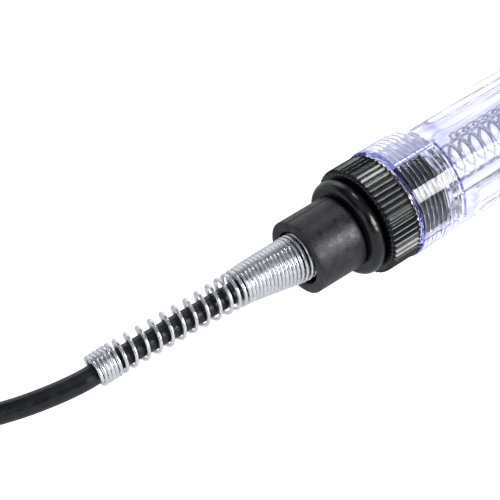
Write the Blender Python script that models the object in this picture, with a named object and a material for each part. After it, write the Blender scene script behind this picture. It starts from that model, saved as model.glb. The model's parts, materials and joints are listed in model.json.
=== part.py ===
"""Circuit test light with a clear screwdriver handle, a sprung cable boot and an earth clip.

The tool lies along X with its probe towards +X, on the plane z = 0. Lengths are in metres.
Stations along the tool are counted from the front face of the knurled cap, towards the probe.
"""

import math

import bmesh
import bpy
import numpy as np
from mathutils import Matrix, Vector

# ---- driving dimensions -------------------------------------------------------------------
GAP = 0.0003                 # between pieces that touch on the real tool

BARREL_RADIUS = 0.01285
BARREL_LENGTH = 0.0880       # full-diameter stretch, behind the nose
NOSE_LENGTH = 0.0160
NOSE_RADIUS = 0.0086
NOSE_BORE = 0.0063
NOSE_WALL = 0.0100           # solid stretch of the nose around the probe bush
FLAT_DEPTH = 0.00065         # finger flats
FLAT_START = 0.0175
FLAT_MARGIN = 0.0050         # between the flats and the nose
FLAT_RAMP = 0.0040
FLAT_TURN = math.radians(-4.7)
FLAT_COUNT = 4

CAP_STEP = 0.00035           # the cap is this much smaller than the barrel
CAP_LENGTH = 0.0080
CAP_CHAMFER = 0.0004
RIDGES = 58
RIDGE_DEPTH = 0.00035
THREAD_RADIUS = 0.0104
THREAD_LENGTH = 0.0093
THREAD_CLEARANCE = 0.0004
THREAD_RUN_OUT = 0.0031      # counterbore beyond the cap's thread
CAP_BORE = 0.0089
CAP_LIP = 0.0025

COLLAR_RADIUS = 0.0111
COLLAR_LENGTH = 0.0039

BOOT_RADIUS = 0.0085
BOOT_LENGTH = 0.0120         # behind the collar
BOOT_BORE = 0.0062
BOOT_BORE_DEPTH = 0.0086
BOOT_NECK = 0.0070
BOOT_FLANGE_LENGTH = 0.0030
BOOT_SPLIT = math.radians(27.2)

CORD_RADIUS = 0.00225
CORD_CLEARANCE = 0.0003
CORE_RADIUS = 0.0009

RELIEF_WIRE = 0.00076
RELIEF_CLEARANCE = 0.00067   # between the cord and the wire
RELIEF_FLARE = 0.00052       # wider where the close turns begin
RELIEF_SEAT_CLEARANCE = 0.00065
RELIEF_END = 0.0039          # close turns at the small end
RELIEF_OPEN = 0.0325
RELIEF_CLOSE = 0.0140        # close turns outside the boot
RELIEF_SEAT = 0.0045         # close turns inside the boot
RELIEF_END_PITCH = 0.00090
RELIEF_OPEN_PITCH = 0.00290

STOP_LENGTH = 0.0034
STOP_REAR_WALL = 0.0019
STOP_FRONT_WALL = 0.0012
CARRIER_GAP = 0.0012
CARRIER_LENGTH = 0.0026
BUTTON_PLATE = 0.0012
BUTTON_RIM = 0.0015          # the rear contact is this much smaller than the cap's bore
BUTTON_LENGTH = 0.0022
SEAT_LENGTH = 0.0022
SEAT_PLATE = 0.0012
SPOUT_LENGTH = 0.0024        # of the seat, inside the spring
SPOUT_TAPER = 0.0009

CONTACT_WIRE = 0.00080
CONTACT_RADIUS = 0.00505     # outside
CONTACT_PITCH = 0.0031

BULB_BASE = 0.00475
BULB_BASE_LENGTH = 0.0075
BULB_FLANGE = 0.0062
BULB_FLANGE_LENGTH = 0.0006
BULB_GLASS = 0.0053
BULB_GLASS_LENGTH = 0.0125
BULB_CLEARANCE = 0.0005
BULB_FOOT = 0.0031           # contact tip and insulator behind the metal base
GLASS_WALL = 0.0005
CAGE_LENGTH = 0.0194
CAGE_WALL = 0.0014
CAGE_CLEARANCE = 0.0005
CAGE_WINDOWS = 4
CAGE_WINDOW_WIDTH = 0.0062
CAGE_END = 0.0020
WINDOW_SILL = 0.0025
WINDOW_HEAD = 0.0035

PROBE_RADIUS = 0.0019
PROBE_REACH = 0.0760         # bare steel in front of the ferrule
PROBE_TAPER = 0.0220
PROBE_TIP = 0.00025
FERRULE_LENGTH = 0.0090
FERRULE_RADIUS = 0.0080
FERRULE_MOUTH = 0.0045
WASHER_LENGTH = 0.0012

HANK_RUN = 0.0620
HANK_OUTER = 0.0190          # bend radius of the outer track, at the middle of the cord
HANK_LAYERS = 3
HANK_BACK = 0.1600           # middle of the hank, behind the boot's mouth
HANK_SIDE = 0.0093
TIE_WIDTH = 0.0140
TIE_THICKNESS = 0.0006

CLIP_WALL = 0.0008
CRIMP_WALL = 0.0005
CRIMP_ROOM = 0.00025         # beside the crimp, and a fifth of it beneath
CLIP_GRIP_WALL = 0.0009
CLIP_PIN = 0.0012
CLIP_SPRING_WIRE = 0.0006

# The free stretch of cord, by hand: behind the boot's mouth, towards +Y, and height, where
# 1 is the tool's own axis and 0 is the surface that it lies on.
CORD_ROUTE = [
    (-0.0244, 0.00000, 1.000),
    (-0.0120, 0.00000, 1.000),
    (0.0000, 0.00020, 1.000),
    (0.0120, 0.00090, 0.990),
    (0.0240, 0.00130, 0.972),
    (0.0360, 0.00185, 0.942),
    (0.0460, 0.00232, 0.903),
    (0.0520, 0.00240, 0.875),
    (0.0565, 0.00310, 0.835),
    (0.0610, 0.00435, 0.773),
    (0.0655, 0.00605, 0.692),
    (0.0700, 0.00825, 0.598),
    (0.0760, 0.01160, 0.450),
    (0.0840, 0.01590, 0.270),
    (0.0920, 0.01970, 0.130),
    (0.1010, 0.02310, 0.035),
    (0.1090, 0.02540, 0.005),
    (0.1115, 0.02595, 0.000),
]

# The end of the cord, from the top of the hank into the clip: behind the hank's middle,
# towards +Y from it, and height, where 0 is the clip's underside and 1 its middle.
TAIL_ROUTE = [
    (-0.0290, 0.01450, 0.302),
    (-0.0245, 0.01400, 0.321),
    (-0.0200, 0.01220, 0.434),
    (-0.0155, 0.00900, 0.642),
    (-0.0110, 0.00530, 0.830),
    (-0.0070, 0.00230, 0.962),
    (-0.0030, 0.00030, 1.000),
    (0.0010, -0.00030, 1.000),
    (0.0045, -0.00030, 1.000),
    (0.0083, -0.00030, 1.000),
]

# ---- sizes that follow from them ----------------------------------------------------------
AXIS_Z = BARREL_RADIUS
CAP_RADIUS = BARREL_RADIUS - CAP_STEP
FLAT_DISTANCE = BARREL_RADIUS - FLAT_DEPTH
BARREL_REAR = GAP
BARREL_FRONT = BARREL_LENGTH + NOSE_LENGTH
FLAT_END = BARREL_LENGTH - FLAT_MARGIN
COUNTERBORE_DEPTH = THREAD_LENGTH + THREAD_RUN_OUT
COUNTERBORE_RADIUS = THREAD_RADIUS + THREAD_CLEARANCE
COLLAR_FRONT = -CAP_LENGTH - GAP
COLLAR_REAR = COLLAR_FRONT - COLLAR_LENGTH + GAP
BOOT_SHOULDER = COLLAR_REAR - GAP
BOOT_MOUTH = BOOT_SHOULDER - BOOT_LENGTH
BOOT_SEAT = BOOT_MOUTH + BOOT_BORE_DEPTH
CAP_SHELF = -CAP_LENGTH + CAP_LIP
FLANGE_REAR = CAP_SHELF + GAP
FLANGE_FRONT = FLANGE_REAR + BOOT_FLANGE_LENGTH
FLANGE_RADIUS = CAP_BORE - GAP
CORD_BORE = CORD_RADIUS + CORD_CLEARANCE
RELIEF_RADIUS = CORD_RADIUS + RELIEF_CLEARANCE + RELIEF_WIRE       # outside, small end
RELIEF_MOUTH = BOOT_BORE - RELIEF_SEAT_CLEARANCE                   # outside, at the boot

STOP_REAR = FLANGE_FRONT + GAP
STOP_FRONT = STOP_REAR + STOP_LENGTH
CARRIER_REAR = STOP_FRONT + CARRIER_GAP
CARRIER_FRONT = CARRIER_REAR + CARRIER_LENGTH
BUTTON_FRONT = CARRIER_FRONT + GAP + BUTTON_PLATE
BUTTON_NOSE = BUTTON_FRONT + BUTTON_LENGTH
SPRING_BORE = CONTACT_RADIUS - CONTACT_WIRE

CAGE_BORE = BULB_GLASS + BULB_CLEARANCE
CAGE_RADIUS = CAGE_BORE + CAGE_WALL
CHAMBER_RADIUS = CAGE_RADIUS + CAGE_CLEARANCE
CHAMBER_END = BARREL_FRONT - NOSE_WALL
CAGE_FRONT = CHAMBER_END - GAP
CAGE_REAR = CAGE_FRONT - CAGE_LENGTH
SHELL_FRONT = CAGE_REAR - GAP
BULB_STATION = SHELL_FRONT - BULB_BASE_LENGTH      # rear edge of the bulb's metal base
TIP_REAR = BULB_STATION - BULB_FOOT
SEAT_FRONT = TIP_REAR - GAP
SEAT_REAR = SEAT_FRONT - SEAT_LENGTH
WINDOW_REAR = CAGE_REAR + WINDOW_SILL
WINDOW_FRONT = CAGE_FRONT - CAGE_END - WINDOW_HEAD
BUSH_REAR = CAGE_FRONT + GAP
BUSH_RADIUS = NOSE_BORE - GAP
PROBE_BORE = PROBE_RADIUS + GAP
PROBE_REAR = CAGE_FRONT - CAGE_END
WASHER_REAR = BARREL_FRONT + GAP
WASHER_FRONT = WASHER_REAR + WASHER_LENGTH
FERRULE_REAR = WASHER_FRONT + GAP
FERRULE_FRONT = FERRULE_REAR + FERRULE_LENGTH
PROBE_POINT = FERRULE_FRONT + PROBE_REACH

CORD_WIDTH = 2 * CORD_RADIUS
HANK_WIDTH = HANK_OUTER + CORD_RADIUS          # half of it
HANK_HUMP = TIE_THICKNESS + GAP                # the cord rises over the strap beneath it
HANK_TOP = HANK_LAYERS * CORD_WIDTH + HANK_HUMP
TIE_TOP = HANK_TOP + GAP + TIE_THICKNESS
CLIP_FLOOR = TIE_TOP + GAP
CLIP_HALF = CORD_BORE + CRIMP_WALL + CRIMP_ROOM + CLIP_WALL        # of its fixed channel
CLIP_HEIGHT = CLIP_HALF + GAP + CLIP_GRIP_WALL                     # half of it

# The origin is below the middle of the tool without its cord.
DATUM_X = -(BOOT_MOUTH + PROBE_POINT) / 2
HANK_X = DATUM_X + BOOT_MOUTH - HANK_BACK

ROUND = 48
SMALL_ROUND = 24
COIL_STEPS = 8               # points for each turn of a spring


# ---- materials ----------------------------------------------------------------------------
def finish(name, colour, roughness, metallic=0.0, transmission=0.0):
    made = bpy.data.materials.new(name)
    made.use_nodes = True
    shader = made.node_tree.nodes["Principled BSDF"]
    shader.inputs["Base Color"].default_value = (*colour, 1.0)
    shader.inputs["Roughness"].default_value = roughness
    shader.inputs["Metallic"].default_value = metallic
    shader.inputs["Transmission Weight"].default_value = transmission
    made.diffuse_color = (*colour, 1.0)
    return made


# ---- shape helpers ------------------------------------------------------------------------
def add_object(name, data, material=None):
    made = bpy.data.objects.new(name, data)
    bpy.context.scene.collection.objects.link(made)
    if material:
        data.materials.append(material)
    return made


def smoothed(mesh):
    mesh.shade_smooth()
    mesh.set_sharp_from_angle(angle=math.radians(35))


def placed(made, station):
    """Stands a piece made around the X axis on the tool's own axis, its origin at a station."""
    made.location = (DATUM_X + station, 0.0, AXIS_Z)
    return made


def turned(name, material, profile, origin=0.0, segments=ROUND, ridges=None):
    """A closed outline of (station, radius) points spun round the tool's axis.

    ridges is (first station, last station, depth): on the widest stretch between them, every
    other line of points is pressed in by the depth, which gives straight knurling.
    """
    mesh = bmesh.new()
    ring = []
    for station, radius in profile:
        ring.append(mesh.verts.new((station - origin, 0.0, radius)))
    edges = [mesh.edges.new((ring[i], ring[(i + 1) % len(ring)])) for i in range(len(ring))]
    bmesh.ops.spin(
        mesh,
        geom=ring + edges,
        cent=(0, 0, 0),
        axis=(1, 0, 0),
        angle=math.tau,
        steps=segments,
        use_duplicate=False,
    )
    bmesh.ops.remove_doubles(mesh, verts=mesh.verts[:], dist=1e-6)
    bmesh.ops.dissolve_degenerate(mesh, dist=1e-7, edges=mesh.edges[:])
    bmesh.ops.recalc_face_normals(mesh, faces=mesh.faces[:])
    if ridges:
        first, last, depth = ridges
        widest = max(radius for _, radius in profile)
        for vert in mesh.verts:
            line = round(math.atan2(vert.co.y, vert.co.z) / math.tau * segments)
            radius = math.hypot(vert.co.y, vert.co.z)
            between = first - origin - 1e-6 < vert.co.x < last - origin + 1e-6
            if between and radius > widest - 1e-6 and line % 2:
                vert.co.yz *= (radius - depth) / radius
    data = bpy.data.meshes.new(name)
    mesh.to_mesh(data)
    mesh.free()
    smoothed(data)
    return placed(add_object(name, data, material), origin)


def prism(name, material, outline, low, high):
    """An outline in X and Y, extruded from one height to another."""
    mesh = bmesh.new()
    face = mesh.faces.new([mesh.verts.new((x, y, low)) for x, y in outline])
    raised = bmesh.ops.extrude_face_region(mesh, geom=[face])
    tops = [v for v in raised["geom"] if isinstance(v, bmesh.types.BMVert)]
    bmesh.ops.translate(mesh, verts=tops, vec=(0, 0, high - low))
    bmesh.ops.recalc_face_normals(mesh, faces=mesh.faces[:])
    data = bpy.data.meshes.new(name)
    mesh.to_mesh(data)
    mesh.free()
    return add_object(name, data, material)


def tube(name, material, points, radius, sides=2):
    """A round bar that follows a list of points."""
    curve = bpy.data.curves.new(name, "CURVE")
    curve.dimensions = "3D"
    curve.bevel_depth = radius
    curve.bevel_resolution = sides
    curve.use_fill_caps = True
    line = curve.splines.new("POLY")
    line.points.add(len(points) - 1)
    for point, place in zip(line.points, points):
        point.co = (*place, 1.0)
    return add_object(name, curve, material)


def cutter(made):
    made.hide_render = True
    made.display_type = "WIRE"
    return made


def cut(body, tool, operation="DIFFERENCE"):
    step = body.modifiers.new(operation.title(), "BOOLEAN")
    step.operation = operation
    step.solver = "EXACT"
    step.object = cutter(tool)


def smooth_line(points, spacing):
    """Points at an even spacing on a smooth curve through the given ones (Catmull-Rom)."""
    given = np.array(points, float)
    padded = np.vstack([2 * given[0] - given[1], given, 2 * given[-1] - given[-2]])
    fine = []
    for i in range(1, len(padded) - 2):
        before, start, end, after = padded[i - 1:i + 3]
        for t in np.linspace(0, 1, 24, endpoint=False):
            fine.append(
                0.5 * (2 * start + (end - before) * t
                       + (2 * before - 5 * start + 4 * end - after) * t**2
                       + (3 * start - before - 3 * end + after) * t**3)
            )
    fine.append(given[-1])
    fine = np.array(fine)
    length = np.concatenate([[0], np.cumsum(np.linalg.norm(np.diff(fine, axis=0), axis=1))])
    steps = np.linspace(0, length[-1], max(2, round(length[-1] / spacing) + 1))
    return np.stack([np.interp(steps, length, fine[:, k]) for k in range(3)], axis=1)


def cord_places():
    """The free cord's own points in the part's frame."""
    places = []
    for back, side, height in CORD_ROUTE:
        z = CORD_RADIUS + (AXIS_Z - CORD_RADIUS) * height
        places.append((DATUM_X + BOOT_MOUTH - back, side, z))
    return places


def tail_places():
    """The points of the cord's end, from the hank into the clip."""
    return [
        (HANK_X - back, HANK_SIDE + side, CLIP_FLOOR + height * CLIP_HEIGHT)
        for back, side, height in TAIL_ROUTE
    ]


def coil_along(line, radius_at, pitch_at, start, end, steps):
    """A helix round a line, between two distances along it, with its own radius and pitch."""
    length = np.concatenate([[0], np.cumsum(np.linalg.norm(np.diff(line, axis=0), axis=1))])
    turns = 0.0
    at = start
    places = []
    while at < end:
        centre = Vector([float(np.interp(at, length, line[:, k])) for k in range(3)])
        ahead = Vector([float(np.interp(at + 0.001, length, line[:, k])) for k in range(3)])
        along = (ahead - centre).normalized()
        side = along.cross(Vector((0, 0, 1))).normalized()
        up = side.cross(along)
        angle = math.tau * turns
        offset = side * math.cos(angle) + up * math.sin(angle)
        places.append(centre + offset * radius_at(at))
        turns += 1.0 / steps
        at += pitch_at(at) / steps
    return places


# ---- the handle ---------------------------------------------------------------------------
def make_handle(clear):
    profile = [
        (BARREL_REAR, COUNTERBORE_RADIUS),
        (BARREL_REAR, BARREL_RADIUS - 0.0003),
        (BARREL_REAR + 0.0003, BARREL_RADIUS),
        (BARREL_LENGTH, BARREL_RADIUS),
        (BARREL_LENGTH + 0.30 * NOSE_LENGTH, BARREL_RADIUS - 0.0005),
        (BARREL_LENGTH + 0.60 * NOSE_LENGTH, BARREL_RADIUS - 0.0018),
        (BARREL_LENGTH + 0.85 * NOSE_LENGTH, NOSE_RADIUS + 0.0009),
        (BARREL_FRONT, NOSE_RADIUS),
        (BARREL_FRONT, NOSE_BORE),
        (CHAMBER_END, NOSE_BORE),
        (CHAMBER_END, CHAMBER_RADIUS),
        (COUNTERBORE_DEPTH, CHAMBER_RADIUS),
        (COUNTERBORE_DEPTH, COUNTERBORE_RADIUS),
    ]
    barrel = turned("barrel", clear, profile)
    outside = BARREL_RADIUS + 0.004
    ramp = FLAT_RAMP * (outside - FLAT_DISTANCE) / FLAT_DEPTH
    outline = [
        (FLAT_START - ramp, outside),
        (FLAT_START, FLAT_DISTANCE),
        (FLAT_END, FLAT_DISTANCE),
        (FLAT_END + ramp, outside),
    ]
    for k in range(FLAT_COUNT):
        block = prism(f"flat_cutter_{k}", None, outline, -BARREL_RADIUS, BARREL_RADIUS)
        turn = Matrix.Rotation(FLAT_TURN + k * math.tau / FLAT_COUNT, 4, "X")
        block.matrix_world = Matrix.Translation((DATUM_X, 0, AXIS_Z)) @ turn
        cut(barrel, block)
    return barrel


# ---- the cap and the cable boot -----------------------------------------------------------
def make_cap(black):
    knurl_rear = -CAP_LENGTH + CAP_CHAMFER
    knurl_front = -0.0006
    return turned(
        "knurled_cap",
        black,
        [
            (-CAP_LENGTH, BOOT_NECK + GAP),
            (-CAP_LENGTH, CAP_RADIUS - CAP_CHAMFER),
            (knurl_rear, CAP_RADIUS),
            (knurl_front, CAP_RADIUS),
            (0.0, CAP_RADIUS - 0.0004),
            (0.0, THREAD_RADIUS),
            (THREAD_LENGTH - 0.0005, THREAD_RADIUS),
            (THREAD_LENGTH, THREAD_RADIUS - 0.0005),
            (THREAD_LENGTH, CAP_BORE),
            (CAP_SHELF, CAP_BORE),
            (CAP_SHELF, BOOT_NECK + GAP),
        ],
        segments=2 * RIDGES,
        ridges=(knurl_rear, knurl_front, RIDGE_DEPTH),
    )


def make_collar(black):
    middle = (COLLAR_REAR + COLLAR_FRONT) / 2
    half = (COLLAR_FRONT - COLLAR_REAR) / 2
    crown = [
        (middle - half * math.cos(a), COLLAR_RADIUS - 0.0016 * (1 - math.sin(a)))
        for a in np.linspace(0, math.pi, 9)
    ]
    bore = BOOT_NECK + GAP
    return turned("gland_collar", black, [(COLLAR_REAR, bore), *crown, (COLLAR_FRONT, bore)])


def make_boot_half(name, black, side):
    """One moulded half of the boot: the spring's seat, the neck and the flange in the cap."""
    whole = turned(
        name,
        black,
        [
            (BOOT_MOUTH, BOOT_BORE),
            (BOOT_MOUTH, BOOT_RADIUS - 0.0004),
            (BOOT_MOUTH + 0.0004, BOOT_RADIUS),
            (BOOT_SHOULDER, BOOT_RADIUS),
            (BOOT_SHOULDER, BOOT_NECK),
            (FLANGE_REAR, BOOT_NECK),
            (FLANGE_REAR, FLANGE_RADIUS),
            (FLANGE_FRONT, FLANGE_RADIUS),
            (FLANGE_FRONT, CORD_BORE),
            (BOOT_SEAT, CORD_BORE),
            (BOOT_SEAT, BOOT_BORE),
        ],
    )
    reach = 2 * FLANGE_RADIUS
    near, far = sorted((side * GAP / 2, -side * reach))
    outline = [
        (BOOT_MOUTH - 0.002, near),
        (FLANGE_FRONT + 0.002, near),
        (FLANGE_FRONT + 0.002, far),
        (BOOT_MOUTH - 0.002, far),
    ]
    block = prism(f"{name}_cutter", None, outline, -reach, reach)
    block.matrix_world = (
        Matrix.Translation((DATUM_X, 0, AXIS_Z)) @ Matrix.Rotation(-BOOT_SPLIT, 4, "X")
    )
    cut(whole, block)
    return whole


def make_relief_spring(steel):
    """The cable's strain-relief spring: close turns, open turns, then a close flare."""
    line = smooth_line(cord_places()[::-1], 0.0005)
    length = np.concatenate([[0], np.cumsum(np.linalg.norm(np.diff(line, axis=0), axis=1))])
    mouth = float(np.interp(DATUM_X + BOOT_MOUTH, line[:, 0], length))
    start = mouth - RELIEF_CLOSE - RELIEF_OPEN - RELIEF_END
    opens = start + RELIEF_END
    closes = opens + RELIEF_OPEN
    flare = RELIEF_RADIUS + RELIEF_FLARE
    widening = 0.012

    def radius_at(at):
        outside = np.interp(
            at,
            [start, closes, mouth, mouth + RELIEF_SEAT],
            [RELIEF_RADIUS, flare, RELIEF_MOUTH, RELIEF_MOUTH],
        )
        if at < closes:
            outside = RELIEF_RADIUS + RELIEF_FLARE * max(0.0, 1 + (at - closes) / widening)
        return float(outside) - RELIEF_WIRE / 2

    def pitch_at(at):
        easing = 0.0035
        return float(np.interp(
            at,
            [opens, opens + easing, closes - easing, closes],
            [RELIEF_END_PITCH, RELIEF_OPEN_PITCH, RELIEF_OPEN_PITCH, RELIEF_END_PITCH],
        ))

    places = coil_along(line, radius_at, pitch_at, start, mouth + RELIEF_SEAT, COIL_STEPS)
    return tube("strain_relief_spring", steel, places, RELIEF_WIRE / 2, sides=0)


# ---- the contacts behind the bulb ---------------------------------------------------------
def make_contacts(brass, steel, black, copper):
    turned(
        "cord_stop",
        brass,
        [
            (STOP_REAR, CORD_BORE),
            (STOP_REAR, CORD_BORE + STOP_REAR_WALL),
            (STOP_FRONT, CORD_BORE + STOP_FRONT_WALL),
            (STOP_FRONT, CORD_BORE),
        ],
        segments=SMALL_ROUND,
    )
    turned(
        "contact_carrier",
        black,
        [
            (CARRIER_REAR, CORE_RADIUS + GAP),
            (CARRIER_REAR, CAP_BORE - GAP),
            (CARRIER_FRONT, CAP_BORE - GAP),
            (CARRIER_FRONT, CORE_RADIUS + GAP),
        ],
    )
    turned(
        "rear_contact",
        brass,
        [
            (CARRIER_FRONT + GAP, 0.0),
            (CARRIER_FRONT + GAP, CAP_BORE - BUTTON_RIM),
            (BUTTON_FRONT, CAP_BORE - BUTTON_RIM),
            (BUTTON_FRONT, SPRING_BORE - GAP),
            (BUTTON_NOSE, SPRING_BORE - SPOUT_TAPER),
            (BUTTON_NOSE, 0.0),
        ],
        segments=SMALL_ROUND,
    )
    core_start = STOP_FRONT + 3 * GAP
    core = [
        (DATUM_X + x, 0.0, AXIS_Z)
        for x in (core_start, (core_start + CARRIER_FRONT) / 2, CARRIER_FRONT)
    ]
    tube("cord_conductor", copper, core, CORE_RADIUS, sides=1)

    start = BUTTON_FRONT + GAP + CONTACT_WIRE / 2
    end = SEAT_REAR - GAP - CONTACT_WIRE / 2
    axis = np.array([(DATUM_X + start, 0, AXIS_Z), (DATUM_X + end + 0.002, 0, AXIS_Z)])
    length = end - start
    places = coil_along(
        axis,
        lambda at: CONTACT_RADIUS - CONTACT_WIRE / 2,
        lambda at: float(np.interp(
            at,
            [0.0012, 0.003, length - 0.003, length - 0.0012],
            [CONTACT_WIRE * 1.2, CONTACT_PITCH, CONTACT_PITCH, CONTACT_WIRE * 1.2],
        )),
        0.0,
        length,
        COIL_STEPS,
    )
    tube("contact_spring", steel, places, CONTACT_WIRE / 2, sides=0)
    turned(
        "spring_seat",
        brass,
        [
            (SEAT_REAR - SPOUT_LENGTH, 0.0),
            (SEAT_REAR - SPOUT_LENGTH, SPRING_BORE - SPOUT_TAPER),
            (SEAT_REAR, SPRING_BORE - GAP),
            (SEAT_REAR, CAGE_RADIUS),
            (SEAT_REAR + SEAT_PLATE, CAGE_RADIUS),
            (SEAT_REAR + SEAT_PLATE, 0.0030),
            (SEAT_FRONT, 0.0024),
            (SEAT_FRONT, 0.0),
        ],
        segments=SMALL_ROUND,
    )


# ---- the bulb and its cage ----------------------------------------------------------------
def make_bulb(glass, brass, black, tungsten, nickel):
    turned(
        "bulb_tip",
        nickel,
        [(TIP_REAR, 0.0), (TIP_REAR, 0.0010), (TIP_REAR + 0.0009, 0.0019),
         (TIP_REAR + 0.0012, 0.0019), (TIP_REAR + 0.0012, 0.0)],
        segments=SMALL_ROUND,
    )
    turned(
        "bulb_insulator",
        black,
        [(TIP_REAR + 0.0015, 0.0), (TIP_REAR + 0.0015, 0.0024), (BULB_STATION - GAP, 0.0040),
         (BULB_STATION - GAP, 0.0)],
        segments=SMALL_ROUND,
    )
    inside = BULB_BASE - 0.0005
    turned(
        "bulb_shell",
        brass,
        [
            (BULB_STATION, 0.0),
            (BULB_STATION, BULB_BASE - 0.0006),
            (BULB_STATION + 0.0006, BULB_BASE),
            (SHELL_FRONT - BULB_FLANGE_LENGTH, BULB_BASE),
            (SHELL_FRONT - BULB_FLANGE_LENGTH, BULB_FLANGE),
            (SHELL_FRONT, BULB_FLANGE),
            (SHELL_FRONT, inside),
            (BULB_STATION + 0.0008, inside),
            (BULB_STATION + 0.0008, 0.0),
        ],
        segments=SMALL_ROUND,
    )
    neck = inside - GAP
    rear = BULB_STATION + 0.0030
    crown = SHELL_FRONT + BULB_GLASS_LENGTH - BULB_GLASS

    def envelope(shrink):
        round_end = [
            (crown + (BULB_GLASS - shrink) * math.sin(a), (BULB_GLASS - shrink) * math.cos(a))
            for a in np.linspace(-0.75, math.pi / 2, 8)
        ]
        return [(SHELL_FRONT + 0.0012, neck - shrink), *round_end[:-1],
                (round_end[-1][0], 0.0)]

    outer = envelope(0.0)
    inner = envelope(GLASS_WALL)[::-1]
    turned(
        "bulb_glass",
        glass,
        [(rear, neck), *outer, *inner, (rear, neck - GLASS_WALL)],
        segments=SMALL_ROUND,
    )
    low = BULB_STATION + 0.0008 + GAP
    high = crown - 0.0004
    spread = 0.0020
    coil = [
        (high + 0.00035 * math.sin(math.tau * k / 4), spread * (1 - k / 16),
         0.00035 * math.cos(math.tau * k / 4))
        for k in range(33)
    ]
    wire = [(low, 0.0010, 0.0), (SHELL_FRONT, 0.0010, 0.0), (high - 0.001, spread, 0.0),
            *coil, (high - 0.001, -spread, 0.0), (SHELL_FRONT, -0.0010, 0.0),
            (low, -0.0010, 0.0)]
    line = [(DATUM_X + x, y, AXIS_Z + z) for x, y, z in wire]
    tube("bulb_filament", tungsten, line, 0.00012, sides=0)

    cage = turned(
        "bulb_cage",
        nickel,
        [
            (CAGE_REAR, CAGE_BORE),
            (CAGE_REAR, CAGE_RADIUS),
            (CAGE_FRONT, CAGE_RADIUS),
            (CAGE_FRONT, PROBE_BORE),
            (CAGE_FRONT - CAGE_END, PROBE_BORE),
            (CAGE_FRONT - CAGE_END, CAGE_BORE),
        ],
        segments=32,
    )
    half = CAGE_WINDOW_WIDTH / 2
    outline = [(WINDOW_REAR, -half), (WINDOW_FRONT, -half), (WINDOW_FRONT, half),
               (WINDOW_REAR, half)]
    for k in range(CAGE_WINDOWS // 2):
        block = prism(f"window_cutter_{k}", None, outline, -0.012, 0.012)
        turn = Matrix.Rotation(k * math.pi / 2 + math.pi / 4, 4, "X")
        block.matrix_world = Matrix.Translation((DATUM_X, 0, AXIS_Z)) @ turn
        cut(cage, block)


# ---- the probe ----------------------------------------------------------------------------
def make_probe(steel, brass, rubber, nickel):
    turned(
        "probe_bush",
        brass,
        [(BUSH_REAR, PROBE_BORE), (BUSH_REAR, BUSH_RADIUS), (BARREL_FRONT, BUSH_RADIUS),
         (BARREL_FRONT, PROBE_BORE)],
        segments=32,
    )
    turned(
        "nose_washer",
        rubber,
        [(WASHER_REAR, PROBE_BORE), (WASHER_REAR, NOSE_RADIUS - 0.0002),
         (WASHER_FRONT, NOSE_RADIUS - 0.0002), (WASHER_FRONT, PROBE_BORE)],
        segments=32,
    )
    turned(
        "nose_ferrule",
        nickel,
        [
            (FERRULE_REAR, PROBE_BORE),
            (FERRULE_REAR, FERRULE_RADIUS),
            (FERRULE_REAR + 0.45 * FERRULE_LENGTH, FERRULE_RADIUS),
            (FERRULE_REAR + 0.50 * FERRULE_LENGTH, FERRULE_RADIUS - 0.0009),
            (FERRULE_REAR + 0.90 * FERRULE_LENGTH, FERRULE_MOUTH + 0.0003),
            (FERRULE_FRONT, FERRULE_MOUTH - 0.0003),
            (FERRULE_FRONT, PROBE_BORE),
        ],
        segments=36,
    )
    turned(
        "probe",
        steel,
        [
            (PROBE_REAR, 0.0),
            (PROBE_REAR, PROBE_RADIUS),
            (PROBE_POINT - PROBE_TAPER, PROBE_RADIUS),
            (PROBE_POINT - 0.55 * PROBE_TAPER, 0.66 * PROBE_RADIUS),
            (PROBE_POINT - 0.0010, PROBE_TIP),
            (PROBE_POINT, 0.0),
        ],
        segments=SMALL_ROUND,
    )


# ---- the cord -----------------------------------------------------------------------------
def make_cord(black, strap):
    line = smooth_line(cord_places(), 2.4 * CORD_RADIUS)
    tube("cord", black, line, CORD_RADIUS, sides=2)

    half_run = HANK_RUN / 2
    outline = []
    for end in (1, -1):
        for a in np.linspace(-math.pi / 2, math.pi / 2, 17):
            outline.append((
                HANK_X + end * (half_run + HANK_WIDTH * math.cos(a)),
                HANK_SIDE + end * HANK_WIDTH * math.sin(a),
            ))
    hank = prism("cord_hank", black, outline, 0.0, HANK_TOP)
    half_tie = TIE_WIDTH / 2
    groove = [
        (HANK_X - half_tie - GAP, HANK_SIDE - 2 * HANK_WIDTH),
        (HANK_X + half_tie + GAP, HANK_SIDE - 2 * HANK_WIDTH),
        (HANK_X + half_tie + GAP, HANK_SIDE + 2 * HANK_WIDTH),
        (HANK_X - half_tie - GAP, HANK_SIDE + 2 * HANK_WIDTH),
    ]
    cut(hank, prism("groove_cutter", None, groove, -0.002, HANK_HUMP))

    reach = HANK_WIDTH + GAP
    band = [
        (HANK_X - half_tie, HANK_SIDE - reach - TIE_THICKNESS),
        (HANK_X + half_tie, HANK_SIDE - reach - TIE_THICKNESS),
        (HANK_X + half_tie, HANK_SIDE + reach + TIE_THICKNESS),
        (HANK_X - half_tie, HANK_SIDE + reach + TIE_THICKNESS),
    ]
    tie = prism("cord_tie", strap, band, 0.0, TIE_TOP)
    hole = [
        (HANK_X - TIE_WIDTH, HANK_SIDE - reach),
        (HANK_X + TIE_WIDTH, HANK_SIDE - reach),
        (HANK_X + TIE_WIDTH, HANK_SIDE + reach),
        (HANK_X - TIE_WIDTH, HANK_SIDE + reach),
    ]
    cut(tie, prism("tie_cutter", None, hole, TIE_THICKNESS, TIE_TOP - TIE_THICKNESS))
    tail = smooth_line(tail_places(), 2.4 * CORD_RADIUS)
    tube("cord_tail", black, tail, CORD_RADIUS, sides=2)


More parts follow.
